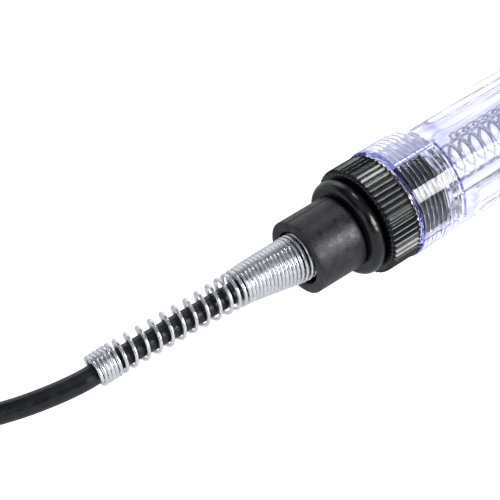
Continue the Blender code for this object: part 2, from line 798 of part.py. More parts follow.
# ---- the earth clip -----------------------------------------------------------------------
# The clip lies on its side on the strap. Its own outlines run from the cord's end (0) to the
# jaw tips (-0.048) along X, and from the fixed jaw (-) to the moving jaw (+) along Y.
CLIP_BACK = 0.0025           # the clip's cord end, behind the hank's middle
CLIP_X = HANK_X - CLIP_BACK
CLIP_PIVOT = (-0.0200, 0.0004)
CLIP_CORD_SIDE = -0.0003
CLIP_FLOOR_SIDE = CLIP_CORD_SIDE - CORD_BORE - CRIMP_WALL - CRIMP_ROOM / 5 - CLIP_WALL
CLIP_WALL_SIDE = 0.0029      # the fixed channel's floor is above, and its walls end here
HANDLE_HEEL = Vector((-0.0130, 0.0034))
HANDLE_TOE = Vector((-0.0030, 0.0143))
HANDLE_DEPTH = 0.0022
GRIP_LENGTH = 0.0130         # of the fixed handle's grip, along the channel's floor
GRIP_TOP = 0.0055            # and over its open side, where the moving handle comes down
GRIP_START = 0.0060          # of the moving handle's grip, from the heel


def beside_handle(along, across):
    """A place on the moving handle: along its underside from the heel, and out from it."""
    run = (HANDLE_TOE - HANDLE_HEEL).normalized()
    place = HANDLE_HEEL + run * along + Vector((-run.y, run.x)) * across
    return (place.x, place.y)


HANDLE_LENGTH = (HANDLE_TOE - HANDLE_HEEL).length
FIXED_OUTLINE = [
    (0.0, CLIP_FLOOR_SIDE), (0.0, CLIP_WALL_SIDE), (-0.0235, CLIP_WALL_SIDE), (-0.0262, 0.0),
    (-0.0478, 0.0), (-0.0480, -0.0016), (-0.0440, -0.0031), (-0.0300, CLIP_FLOOR_SIDE),
]
FIXED_INSIDE = [
    (0.004, CLIP_FLOOR_SIDE + CLIP_WALL), (0.004, 0.008), (-0.0468, 0.008), (-0.0468, -0.0012),
    (-0.0438, -0.0031 + CLIP_WALL), (-0.0300, CLIP_FLOOR_SIDE + CLIP_WALL),
]
MOVING_OUTLINE = [
    (-0.0266, GAP), (-0.0237, -0.0016), (-0.0163, -0.0016), tuple(HANDLE_HEEL),
    tuple(HANDLE_TOE), beside_handle(HANDLE_LENGTH, HANDLE_DEPTH),
    beside_handle(0.0010, HANDLE_DEPTH), (-0.0165, 0.0054), (-0.0300, 0.0048),
    (-0.0440, 0.0033), (-0.0480, 0.0018), (-0.0478, GAP),
]
MOVING_INSIDE = [
    beside_handle(HANDLE_LENGTH + 0.003, -0.006),
    beside_handle(HANDLE_LENGTH + 0.003, HANDLE_DEPTH - CLIP_WALL),
    beside_handle(0.0010, HANDLE_DEPTH - CLIP_WALL), (-0.0163, 0.0054 - CLIP_WALL),
    (-0.0300, 0.0048 - CLIP_WALL), (-0.0436, 0.0033 - CLIP_WALL),
    (-0.0468, 0.0014), (-0.0468, -0.0040), (-0.0130, -0.0040),
]


def clip_places(outline):
    return [(CLIP_X + x, HANK_SIDE + y) for x, y in outline]


def make_clip(nickel, steel, red, brass, copper):
    middle = CLIP_FLOOR + CLIP_HEIGHT
    pivot = (CLIP_X + CLIP_PIVOT[0], HANK_SIDE + CLIP_PIVOT[1])

    fixed = prism("clip_fixed_jaw", nickel, clip_places(FIXED_OUTLINE),
                  middle - CLIP_HALF, middle + CLIP_HALF)
    channel = CLIP_HALF - CLIP_WALL
    cut(fixed, prism("fixed_channel", None, clip_places(FIXED_INSIDE),
                     middle - channel, middle + channel))
    moving_half = channel - GAP
    moving = prism("clip_moving_jaw", nickel, clip_places(MOVING_OUTLINE),
                   middle - moving_half, middle + moving_half)
    shift = Matrix.Translation((-pivot[0], -pivot[1], -middle))
    moving.data.transform(shift)
    moving.location = (*pivot, middle)
    cut(moving, prism("moving_channel", None, clip_places(MOVING_INSIDE),
                      middle - moving_half + CLIP_WALL, middle + moving_half - CLIP_WALL))

    def disc(name, material, radius, low, high):
        ring = [
            (pivot[0] + radius * math.cos(a), pivot[1] + radius * math.sin(a))
            for a in np.linspace(0, math.tau, 20, endpoint=False)
        ]
        return prism(name, material, ring, low, high)

    for jaw in (fixed, moving):
        cut(jaw, disc(f"{jaw.name}_pin_hole", None, CLIP_PIN + GAP, middle - 0.01, middle + 0.01))
    pin = disc("clip_pin", steel, CLIP_PIN, middle - CLIP_HALF - 0.0004,
               middle + CLIP_HALF + 0.0004)
    for end, sign in (("low", -1), ("high", 1)):
        inner = middle + sign * (CLIP_HALF + GAP)
        outer = middle + sign * (CLIP_HALF + GAP + 0.0006)
        head = disc(f"pin_head_{end}", None, CLIP_PIN + 0.0008, min(inner, outer),
                    max(inner, outer))
        cut(pin, head, "UNION")

    coil_half = moving_half - CLIP_WALL - GAP - CLIP_SPRING_WIRE / 2
    winding = CLIP_PIN + GAP + CLIP_SPRING_WIRE / 2 + 0.0002
    turns = 3.5
    steps = 42
    coil = []
    for k in range(steps + 1):
        angle = -math.pi / 2 + math.tau * turns * k / steps
        height = middle - coil_half + 2 * coil_half * k / steps
        coil.append((pivot[0] + winding * math.cos(angle),
                     pivot[1] + winding * math.sin(angle), height))
    leg_low = (pivot[0] + 0.0110, pivot[1] - 0.0026, middle - coil_half)
    leg_high = (pivot[0] + 0.0105, pivot[1] + 0.0042, middle + coil_half)
    tube("clip_spring", steel, [leg_low, *coil, leg_high], CLIP_SPRING_WIRE / 2, sides=1)

    # The grips are sleeves over the two handles, open at their front ends.
    skin = GAP + CLIP_GRIP_WALL
    outer_fixed = [
        (skin, CLIP_FLOOR_SIDE - skin), (skin, CLIP_WALL_SIDE + skin),
        (-GRIP_TOP, CLIP_WALL_SIDE + skin), (-GRIP_LENGTH, CLIP_FLOOR_SIDE - skin),
    ]
    inner_fixed = [
        (GAP, CLIP_FLOOR_SIDE - GAP), (GAP, CLIP_WALL_SIDE + GAP),
        (-GRIP_LENGTH - 0.002, CLIP_WALL_SIDE + GAP),
        (-GRIP_LENGTH - 0.002, CLIP_FLOOR_SIDE - GAP),
    ]
    sleeve = prism("clip_fixed_grip", red, clip_places(outer_fixed), middle - CLIP_HEIGHT,
                   middle + CLIP_HEIGHT)
    cut(sleeve, prism("fixed_grip_inside", None, clip_places(inner_fixed),
                      middle - CLIP_HALF - GAP, middle + CLIP_HALF + GAP))
    entry = turned("grip_entry", None, [(0.020, 0.0), (0.020, CORD_BORE), (-0.001, CORD_BORE),
                                        (-0.001, 0.0)], segments=16)
    entry.location = (CLIP_X, HANK_SIDE + CLIP_CORD_SIDE, middle)
    cut(sleeve, entry)

    cover = moving_half + skin
    outer_moving = [
        beside_handle(GRIP_START, -skin), beside_handle(HANDLE_LENGTH + skin, -skin),
        beside_handle(HANDLE_LENGTH + skin, HANDLE_DEPTH + skin),
        beside_handle(GRIP_START, HANDLE_DEPTH + skin),
    ]
    inner_moving = [
        beside_handle(0.0, -GAP), beside_handle(HANDLE_LENGTH + GAP, -GAP),
        beside_handle(HANDLE_LENGTH + GAP, HANDLE_DEPTH + GAP),
        beside_handle(0.0, HANDLE_DEPTH + GAP),
    ]
    sleeve = prism("clip_moving_grip", red, clip_places(outer_moving),
                   middle - cover, middle + cover)
    hollow = prism("moving_grip_inside", None, clip_places(inner_moving),
                   middle - moving_half - GAP, middle + moving_half + GAP)
    for made in (sleeve, hollow):
        made.data.transform(shift)
        made.location = (*pivot, middle)
    cut(sleeve, hollow)

    band = CORD_BORE + CRIMP_WALL
    crimp = turned("clip_crimp", brass, [(-0.0052, CORD_BORE), (-0.0052, band),
                                         (-0.0022, band), (-0.0022, CORD_BORE)],
                   segments=20)
    crimp.location = (CLIP_X, HANK_SIDE + CLIP_CORD_SIDE, middle)
    core = [
        (CLIP_X + x, HANK_SIDE + CLIP_CORD_SIDE, middle) for x in (-0.0063, -0.0080, -0.0095)
    ]
    tube("clip_conductor", copper, core, CORE_RADIUS, sides=1)


def main():
    for made in list(bpy.data.objects):
        bpy.data.objects.remove(made, do_unlink=True)
    clear = finish("clear_plastic", (0.86, 0.87, 0.96), 0.06, transmission=0.9)
    glass = finish("bulb_glass", (0.95, 0.96, 0.97), 0.03, transmission=0.95)
    black = finish("black_plastic", (0.025, 0.025, 0.028), 0.45)
    jacket = finish("cord_jacket", (0.020, 0.020, 0.023), 0.40)
    rubber = finish("black_rubber", (0.030, 0.030, 0.030), 0.70)
    plated = finish("bright_plated_wire", (0.78, 0.79, 0.80), 0.22, 1.0)
    nickel = finish("nickel_plate", (0.72, 0.71, 0.68), 0.25, 1.0)
    steel = finish("tool_steel", (0.55, 0.55, 0.56), 0.28, 1.0)
    brass = finish("brass", (0.72, 0.55, 0.25), 0.30, 1.0)
    copper = finish("copper", (0.80, 0.45, 0.30), 0.35, 1.0)
    tungsten = finish("tungsten", (0.35, 0.35, 0.36), 0.40, 1.0)
    red = finish("red_vinyl", (0.55, 0.03, 0.03), 0.42)
    strap = finish("strap_weave", (0.040, 0.040, 0.042), 0.85)

    make_handle(clear)
    make_cap(black)
    make_collar(black)
    make_boot_half("boot_half_near", black, -1)
    make_boot_half("boot_half_far", black, 1)
    make_relief_spring(plated)
    make_contacts(brass, plated, black, copper)
    make_bulb(glass, brass, black, tungsten, nickel)
    make_probe(steel, brass, rubber, nickel)
    make_cord(jacket, strap)
    make_clip(nickel, steel, red, brass, copper)


main()
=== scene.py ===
"""Looks of the circuit test light: clear handle, knurled cap, cable boot, springs, lead and clip.

Lengths are in metres. Stations along the tool are counted from the knurled cap's front face,
towards the probe. Angles round the tool are counted from straight up towards +Y.
"""

import json
import math

import bmesh
import bpy
import numpy as np
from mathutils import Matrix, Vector

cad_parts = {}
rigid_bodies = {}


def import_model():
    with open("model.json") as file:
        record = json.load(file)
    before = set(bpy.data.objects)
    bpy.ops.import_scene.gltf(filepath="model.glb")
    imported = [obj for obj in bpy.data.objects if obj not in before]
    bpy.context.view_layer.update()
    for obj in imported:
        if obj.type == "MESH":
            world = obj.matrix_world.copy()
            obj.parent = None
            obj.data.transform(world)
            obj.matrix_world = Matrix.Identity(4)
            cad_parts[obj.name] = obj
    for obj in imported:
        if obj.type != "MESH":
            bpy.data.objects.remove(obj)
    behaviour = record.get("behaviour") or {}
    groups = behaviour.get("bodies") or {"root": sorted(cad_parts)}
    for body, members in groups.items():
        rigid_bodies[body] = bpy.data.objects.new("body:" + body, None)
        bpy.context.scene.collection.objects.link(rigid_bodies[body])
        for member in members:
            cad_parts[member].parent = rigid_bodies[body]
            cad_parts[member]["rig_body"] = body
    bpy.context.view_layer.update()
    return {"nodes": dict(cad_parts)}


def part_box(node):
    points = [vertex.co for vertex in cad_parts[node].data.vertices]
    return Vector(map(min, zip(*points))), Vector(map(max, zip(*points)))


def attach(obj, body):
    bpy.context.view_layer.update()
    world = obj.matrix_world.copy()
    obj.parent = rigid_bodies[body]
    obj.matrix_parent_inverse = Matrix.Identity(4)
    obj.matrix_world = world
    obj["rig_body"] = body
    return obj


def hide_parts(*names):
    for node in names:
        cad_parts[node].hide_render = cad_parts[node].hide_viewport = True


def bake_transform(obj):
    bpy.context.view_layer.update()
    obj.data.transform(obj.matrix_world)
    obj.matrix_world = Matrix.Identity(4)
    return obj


TURN = math.tau
GAP = 0.0003

# ---- handle -------------------------------------------------------------------------------
BARREL_RADIUS = 0.01285
BARREL_LENGTH = 0.0880
NOSE_LENGTH = 0.0160
NOSE_RADIUS = 0.0086
NOSE_BORE = 0.0063
NOSE_WALL = 0.0100
CHAMBER_RADIUS = 0.0077
COUNTERBORE_RADIUS = 0.0108
COUNTERBORE_DEPTH = 0.0124
FLAT_DISTANCE = 0.0122
FLAT_START = 0.0175
FLAT_END = 0.0830
FLAT_SLOPE = 0.00065 / 0.0040
FLAT_TURN = math.radians(4.7)
FLAT_COUNT = 4
PANEL_DEPTH = 0.00028        # the shallow recess beside the cap
PANEL_FROM = math.radians(-92.8)
PANEL_TO = math.radians(-4.8)
PANEL_END = 0.0124
THREAD_PITCH = 0.00125
THREAD_DEPTH = 0.00026
MALE_THREAD_DEPTH = 0.00045

# ---- cap, collar and boot -----------------------------------------------------------------
CAP_RADIUS = 0.0125
CAP_LENGTH = 0.0080
CAP_CHAMFER = 0.0004
CAP_BORE = 0.0089
CAP_LIP = 0.0025
RIDGES = 58
RIDGE_DEPTH = 0.00056
RIDGE_FADE = 0.0013          # how far in from the rim the grooves cross the rear face
CREST_ROUNDING = 0.006
MALE_RADIUS = 0.0104
MALE_LENGTH = 0.0093
NECK_BORE = 0.0073
COLLAR_RADIUS = 0.0111
COLLAR_REAR = -0.0119
COLLAR_FRONT = -0.0083
BOOT_MOUTH = -0.0242
BOOT_SHOULDER = -0.0122
BOOT_SEAT = -0.0156
BOOT_RADIUS = 0.0085
BOOT_BORE = 0.0062
BOOT_NECK = 0.0070
FLANGE_REAR = -0.0052
FLANGE_FRONT = -0.0022
FLANGE_RADIUS = 0.0086
BOOT_SPLIT = math.radians(27.2)
BOOT_SLACK = 0.00013         # half the gap between its two halves

# ---- inside and nose ----------------------------------------------------------------------
CAGE_RADIUS = 0.0072
BULB_BASE = 0.00475
BULB_FLANGE = 0.0062
BULB_GLASS = 0.0053
GLASS_WALL = 0.0005
PROBE_RADIUS = 0.0019
PROBE_BORE = PROBE_RADIUS + GAP
PROBE_TAPER = 0.0220
FERRULE_RADIUS = 0.0080

# ---- springs and cord ---------------------------------------------------------------------
CORD_RADIUS = 0.00225
CORD_WIDTH = 2 * CORD_RADIUS
CORD_BORE = CORD_RADIUS + GAP
RELIEF_WIRE = 0.00083
RELIEF_RADIUS = 0.00370
RELIEF_FLARE = 0.00425
RELIEF_MOUTH = 0.00555
RELIEF_END = 0.0039
RELIEF_OPEN = 0.0325
RELIEF_CLOSE = 0.0140
RELIEF_SEAT = 0.0045
RELIEF_PITCH = 0.00290
CORD_SLACK = 0.00042
CONTACT_WIRE = 0.00080
CONTACT_RADIUS = 0.00505
CONTACT_PITCH = 0.0031

HANK_RUN = 0.0620
HANK_OUTER = 0.0190
HANK_INNER = HANK_OUTER - CORD_WIDTH
HANK_BACK = 0.1600
HANK_SIDE = 0.0093
TIE_WIDTH = 0.0140
TIE_THICKNESS = 0.0006
HUMP = TIE_THICKNESS + GAP

# The free stretch of cord: behind the boot's mouth, towards +Y, and height, where 1 is the
# tool's own axis and 0 is the surface that it lies on.
CORD_ROUTE = [
    (-0.0244, 0.00000, 1.000),
    (-0.0120, 0.00000, 1.000),
    (0.0000, 0.00020, 1.000),
    (0.0120, 0.00090, 0.990),
    (0.0240, 0.00130, 0.972),
    (0.0360, 0.00185, 0.942),
    (0.0460, 0.00232, 0.903),
    (0.0520, 0.00240, 0.875),
    (0.0565, 0.00310, 0.835),
    (0.0610, 0.00435, 0.773),
    (0.0655, 0.00605, 0.692),
    (0.0700, 0.00825, 0.598),
    (0.0760, 0.01160, 0.450),
    (0.0840, 0.01590, 0.270),
    (0.0920, 0.01970, 0.130),
    (0.1010, 0.02310, 0.035),
    (0.1090, 0.02540, 0.005),
    (0.1115, 0.02595, 0.000),
]

# The end of the cord, from the top of the hank into the clip: behind the hank's middle,
# towards +Y from it, and height, where 0 is the clip's underside and 1 its middle.
TAIL_ROUTE = [
    (-0.0245, 0.01400, 0.321),
    (-0.0200, 0.01220, 0.434),
    (-0.0155, 0.00900, 0.642),
    (-0.0110, 0.00530, 0.830),
    (-0.0070, 0.00230, 0.962),
    (-0.0030, 0.00030, 1.000),
    (0.0010, -0.00030, 1.000),
    (0.0045, -0.00030, 1.000),
    (0.0083, -0.00030, 1.000),
]

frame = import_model()
CAP_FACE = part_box("knurled_cap")[0][0] + CAP_LENGTH
AXIS_Z = BARREL_RADIUS
HANK_X = CAP_FACE + BOOT_MOUTH - HANK_BACK
CLIP_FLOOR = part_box("clip_fixed_grip")[0][2]
CLIP_MIDDLE = (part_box("clip_spring")[0][2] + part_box("clip_spring")[1][2]) / 2
SPRING_HALF = (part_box("clip_spring")[1][2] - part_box("clip_spring")[0][2]) / 2 - 0.0003
CLIP_BACK = 0.0025
CLIP_X = HANK_X - CLIP_BACK
CLIP_PIVOT = (-0.0200, 0.0004)
CLIP_PIN = 0.0012
CLIP_SPRING_WIRE = 0.0006
CLIP_SPRING_TURNS = 3.5
TEETH = 8
TOOTH = -0.0006


# ---- mesh helpers -------------------------------------------------------------------------
def linked(name, data):
    made = bpy.data.objects.new(name, data)
    bpy.context.scene.collection.objects.link(made)
    return made


def piece(name, body, material, mesh, stands_for=()):
    """Links a mesh as a piece of the tool: its body and the CAD nodes it shows."""
    made = linked(name, mesh)
    mesh.materials.append(material)
    if body:
        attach(made, body)
    if stands_for:
        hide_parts(*stands_for)
    return made


def merged(mesh, sharp=40):
    """Welds a mesh's seams and poles, turns its faces outwards and shades it smooth."""
    work = bmesh.new()
    work.from_mesh(mesh)
    bmesh.ops.remove_doubles(work, verts=work.verts[:], dist=1e-7)
    bmesh.ops.dissolve_degenerate(work, dist=1e-8, edges=work.edges[:])
    bmesh.ops.recalc_face_normals(work, faces=work.faces[:])
    work.to_mesh(mesh)
    work.free()
    mesh.shade_smooth()
    mesh.set_sharp_from_angle(angle=math.radians(sharp))
    return mesh


def skin(name, grid, wrap_rows=False, ends=False, sharp=40):
    """A mesh over a grid of points, rows by columns, closed round its columns.

    wrap_rows closes it the other way too, and ends shuts the first and last row with a face.
    """
    rows, columns = grid.shape[:2]
    index = np.arange(rows * columns).reshape(rows, columns)
    around = np.hstack([index, index[:, :1]])
    if wrap_rows:
        around = np.vstack([around, around[:1]])
    faces = np.stack(
        [around[:-1, :-1], around[:-1, 1:], around[1:, 1:], around[1:, :-1]], axis=-1
    ).reshape(-1, 4).tolist()
    if ends:
        faces += [index[0].tolist(), index[-1][::-1].tolist()]
    mesh = bpy.data.meshes.new(name)
    mesh.from_pydata(grid.reshape(-1, 3).tolist(), [], faces)
    return merged(mesh, sharp)


def eased(outline, reach, steps=4, closed=True):
    """An outline with each corner replaced by a short curve.

    At a corner B between A and C, the curve is the quadratic (1-t)^2 P + 2t(1-t) B + t^2 Q,
    where P and Q lie on AB and BC at most reach from B, and at most 0.45 of the edge.
    """
    points = np.array(outline, float)
    count = len(points)
    t = np.linspace(0, 1, steps)[:, None]
    made = []
    for k in range(count):
        corner = points[k]
        if not closed and k in (0, count - 1):
            made.append(corner[None])
            continue
        pair = []
        for other in (points[k - 1], points[(k + 1) % count]):
            edge = np.linalg.norm(other - corner)
            pair.append(corner + (other - corner) / edge * min(reach, 0.45 * edge))
        made.append((1 - t) ** 2 * pair[0] + 2 * t * (1 - t) * corner + t**2 * pair[1])
    return np.vstack(made)


def filled(outline, spacing, closed=True):
    """An outline with points added along its edges, no further apart than the spacing."""
    points = np.array(outline, float)
    ends = np.vstack([points[1:], points[:1]]) if closed else points[1:]
    made = []
    for start, end in zip(points, ends):
        count = max(1, math.ceil(np.linalg.norm(end - start) / spacing))
        made.append(start + (end - start) * np.arange(count)[:, None] / count)
    if not closed:
        made.append(points[-1:])
    return np.vstack(made)


def around_axis(outline, angles, reshape=None):
    """The grid of a turned shape: (station, radius) points by angles round the tool's axis.

    x is the station, y = r sin(angle) and z = r cos(angle) from the axis. reshape gives a new
    radius from the station, the radius and the angle.
    """
    station, radius = np.array(outline).T
    x = np.repeat(station[:, None], len(angles), axis=1)
    r = np.repeat(radius[:, None], len(angles), axis=1)
    a = np.repeat(angles[None], len(station), axis=0)
    if reshape:
        r = reshape(x, r, a)
    return np.stack([CAP_FACE + x, r * np.sin(a), AXIS_Z + r * np.cos(a)], axis=-1)


def full_turn(count):
    return np.linspace(0, TURN, count, endpoint=False)


def turned(name, outline, segments=96, reshape=None, sharp=40):
    """An outline spun right round the tool's axis; one that begins on the axis also ends there."""
    closed = outline[0][1] > 0
    return skin(name, around_axis(outline, full_turn(segments), reshape), closed, sharp=sharp)


def span(node):
    """The stations of a CAD node's rear and front."""
    low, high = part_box(node)
    return float(low[0] - CAP_FACE), float(high[0] - CAP_FACE)


def stand_in(node, finish, mesh):
    """Shows a mesh, on the node's own body, in place of the CAD node."""
    body = frame["nodes"][node]["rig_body"]
    return piece(f"{node}_skin", body, MATERIAL[finish], mesh, [node])


def smooth_step(value):
    """0 below 0, 1 above 1, and 3t^2 - 2t^3 between."""
    t = np.clip(value, 0, 1)
    return t * t * (3 - 2 * t)


def distance_along(line):
    return np.concatenate([[0], np.cumsum(np.linalg.norm(np.diff(line, axis=0), axis=1))])


def places_at(at, length, line):
    """The line's points at the given distances along it."""
    return np.stack([np.interp(at, length, line[:, k]) for k in range(3)], axis=1)


def smooth_line(points, spacing):
    """Evenly spaced points on the Catmull-Rom curve through the given ones."""
    given = np.array(points, float)
    padded = np.vstack([2 * given[0] - given[1], given, 2 * given[-1] - given[-2]])
    t = np.linspace(0, 1, 24, endpoint=False)[None, :, None]
    before, start, end, after = (
        padded[k:len(padded) - 3 + k][:, None] for k in range(4)
    )
    fine = 0.5 * (
        2 * start + (end - before) * t
        + (2 * before - 5 * start + 4 * end - after) * t**2
        + (3 * start - before - 3 * end + after) * t**3
    )
    fine = np.vstack([fine.reshape(-1, 3), given[-1:]])
    length = distance_along(fine)
    steps = np.linspace(0, length[-1], max(2, round(length[-1] / spacing) + 1))
    return places_at(steps, length, fine)


def cross_frames(line, reference):
    """Tangents of a line, and two normals from a reference direction at each point."""
    along = np.gradient(line, axis=0)
    along /= np.linalg.norm(along, axis=1)[:, None]
    side = np.cross(along, reference)
    side /= np.linalg.norm(side, axis=1)[:, None]
    return along, side, np.cross(side, along)


def bar(name, line, radius, sides, reference=(0, 0, 1), dome=0.0):
    """A round bar along a line: centre + radius (cos a * side + sin a * up), shut at both ends.

    The ends are drawn in over a short dome.
    """
    length = distance_along(line)
    _, side, up = cross_frames(line, np.broadcast_to(reference, line.shape))
    reach = np.minimum(length, length[-1] - length) / max(dome, 1e-6)
    swell = np.sqrt(np.clip(1 - (1 - np.clip(reach, 0.1, 1)) ** 2, 0, 1)) if dome else 1.0
    size = radius * np.broadcast_to(swell, length.shape)
    a = full_turn(sides)
    round_it = np.cos(a)[None, :, None] * side[:, None] + np.sin(a)[None, :, None] * up[:, None]
    grid = line[:, None] + size[:, None, None] * round_it
    return skin(name, grid, ends=True, sharp=60)


def helix(line, radius_at, pitch_at, start, end, steps):
    """A coil round a line between two distances along it, and its outward directions.

    The turn at each distance is the running sum of step / pitch, so the pitch may change.
    """
    length = distance_along(line)
    fine = np.linspace(start, end, 4000)
    turns = np.concatenate([[0], np.cumsum(np.diff(fine) / pitch_at(fine[:-1]))])
    count = int(turns[-1] * steps) + 1
    turn = np.linspace(0, turns[-1], count)
    at = np.interp(turn, turns, fine)
    centre = places_at(at, length, line)
    along = places_at(at + 0.0008, length, line) - places_at(at - 0.0008, length, line)
    along /= np.linalg.norm(along, axis=1)[:, None]
    side = np.cross(along, (0, 0, 1))
    side /= np.linalg.norm(side, axis=1)[:, None]
    up = np.cross(side, along)
    angle = TURN * turn[:, None]
    outward = np.cos(angle) * side + np.sin(angle) * up
    return centre + outward * radius_at(at)[:, None], outward


# ---- shared shader groups -----------------------------------------------------------------
def new_group(name, inputs, outputs):
    group = bpy.data.node_groups.new(name, "ShaderNodeTree")
    for label, kind, value in inputs:
        socket = group.interface.new_socket(label, in_out="INPUT", socket_type=kind)
        socket.default_value = value
    for label, kind in outputs:
        group.interface.new_socket(label, in_out="OUTPUT", socket_type=kind)
    entry = group.nodes.new("NodeGroupInput")
    leave = group.nodes.new("NodeGroupOutput")
    return group, entry, leave


def grain_group():
    """Fine grain: two noises give the colour's mottle, the roughness and a bumped normal."""
    group, entry, leave = new_group(
        "moulded_grain",
        [
            ("Dark", "NodeSocketColor", (0.02, 0.02, 0.02, 1)),
            ("Light", "NodeSocketColor", (0.05, 0.05, 0.05, 1)),
            ("Mottle Scale", "NodeSocketFloat", 300.0),
            ("Grain Scale", "NodeSocketFloat", 4000.0),
            ("Smooth", "NodeSocketFloat", 0.3),
            ("Rough", "NodeSocketFloat", 0.5),
            ("Depth", "NodeSocketFloat", 0.00002),
        ],
        [
            ("Colour", "NodeSocketColor"),
            ("Roughness", "NodeSocketFloat"),
            ("Normal", "NodeSocketVector"),
        ],
    )
    add, link = group.nodes.new, group.links.new
    place = add("ShaderNodeTexCoord")
    mottle = add("ShaderNodeTexNoise")
    mottle.inputs["Detail"].default_value = 4.0
    link(place.outputs["Object"], mottle.inputs["Vector"])
    link(entry.outputs["Mottle Scale"], mottle.inputs["Scale"])
    sharpen = add("ShaderNodeMapRange")
    sharpen.inputs["From Min"].default_value = 0.35
    sharpen.inputs["From Max"].default_value = 0.68
    link(mottle.outputs["Fac"], sharpen.inputs["Value"])
    colour = add("ShaderNodeMix")
    colour.data_type = "RGBA"
    link(sharpen.outputs["Result"], colour.inputs["Factor"])
    link(entry.outputs["Dark"], colour.inputs[6])
    link(entry.outputs["Light"], colour.inputs[7])
    grain = add("ShaderNodeTexNoise")
    grain.inputs["Detail"].default_value = 3.0
    link(place.outputs["Object"], grain.inputs["Vector"])
    link(entry.outputs["Grain Scale"], grain.inputs["Scale"])
    rough = add("ShaderNodeMapRange")
    link(mottle.outputs["Fac"], rough.inputs["Value"])
    rough.inputs["From Min"].default_value = 0.3
    rough.inputs["From Max"].default_value = 0.7
    link(entry.outputs["Smooth"], rough.inputs["To Min"])
    link(entry.outputs["Rough"], rough.inputs["To Max"])
    bump = add("ShaderNodeBump")
    link(grain.outputs["Fac"], bump.inputs["Height"])
    link(entry.outputs["Depth"], bump.inputs["Distance"])
    link(colour.outputs[2], leave.inputs["Colour"])
    link(rough.outputs["Result"], leave.inputs["Roughness"])
    link(bump.outputs["Normal"], leave.inputs["Normal"])
    return group


GRAIN = grain_group()


def finish_from_grain(name, dark, light, smooth, rough, mottle, grain, depth, **fixed):
    """A Principled finish whose colour, roughness and normal come from the grain group."""
    made = bpy.data.materials.new(name)
    made.use_nodes = True
    tree = made.node_tree
    shader = tree.nodes["Principled BSDF"]
    group = tree.nodes.new("ShaderNodeGroup")
    group.node_tree = GRAIN
    group.inputs["Dark"].default_value = (*dark, 1)
    group.inputs["Light"].default_value = (*light, 1)
    for label, value in (
        ("Smooth", smooth), ("Rough", rough), ("Mottle Scale", mottle),
        ("Grain Scale", grain), ("Depth", depth),
    ):
        group.inputs[label].default_value = value
    tree.links.new(group.outputs["Colour"], shader.inputs["Base Color"])
    tree.links.new(group.outputs["Roughness"], shader.inputs["Roughness"])
    tree.links.new(group.outputs["Normal"], shader.inputs["Normal"])
    for label, value in fixed.items():
        shader.inputs[label.replace("_", " ")].default_value = value
    return made


def edge_shaded_plastic():
    """Clear acetate with painted shade, deep blue at its edges: the mesh's edge_shade is 1 there,
    0 elsewhere.
    """
    made = finish_from_grain(
        "clear_acetate", (0.86, 0.865, 0.985), (0.905, 0.91, 1.0), 0.01, 0.04, 90, 700,
        0.000003, Transmission_Weight=1.0, IOR=1.38)
    tree = made.node_tree
    shader = tree.nodes["Principled BSDF"]
    plain = shader.inputs["Base Color"].links[0].from_socket
    edge_shade = tree.nodes.new("ShaderNodeAttribute")
    edge_shade.attribute_name = "edge_shade"
    mix = tree.nodes.new("ShaderNodeMix")
    mix.data_type = "RGBA"
    tree.links.new(edge_shade.outputs["Fac"], mix.inputs["Factor"])
    tree.links.new(plain, mix.inputs[6])
    # painted shade: the deep blue standing in for refraction darkening the clear plastic's edges
    mix.inputs[7].default_value = (0.13, 0.15, 0.72, 1)
    tree.links.new(mix.outputs[2], shader.inputs["Base Color"])
    return made


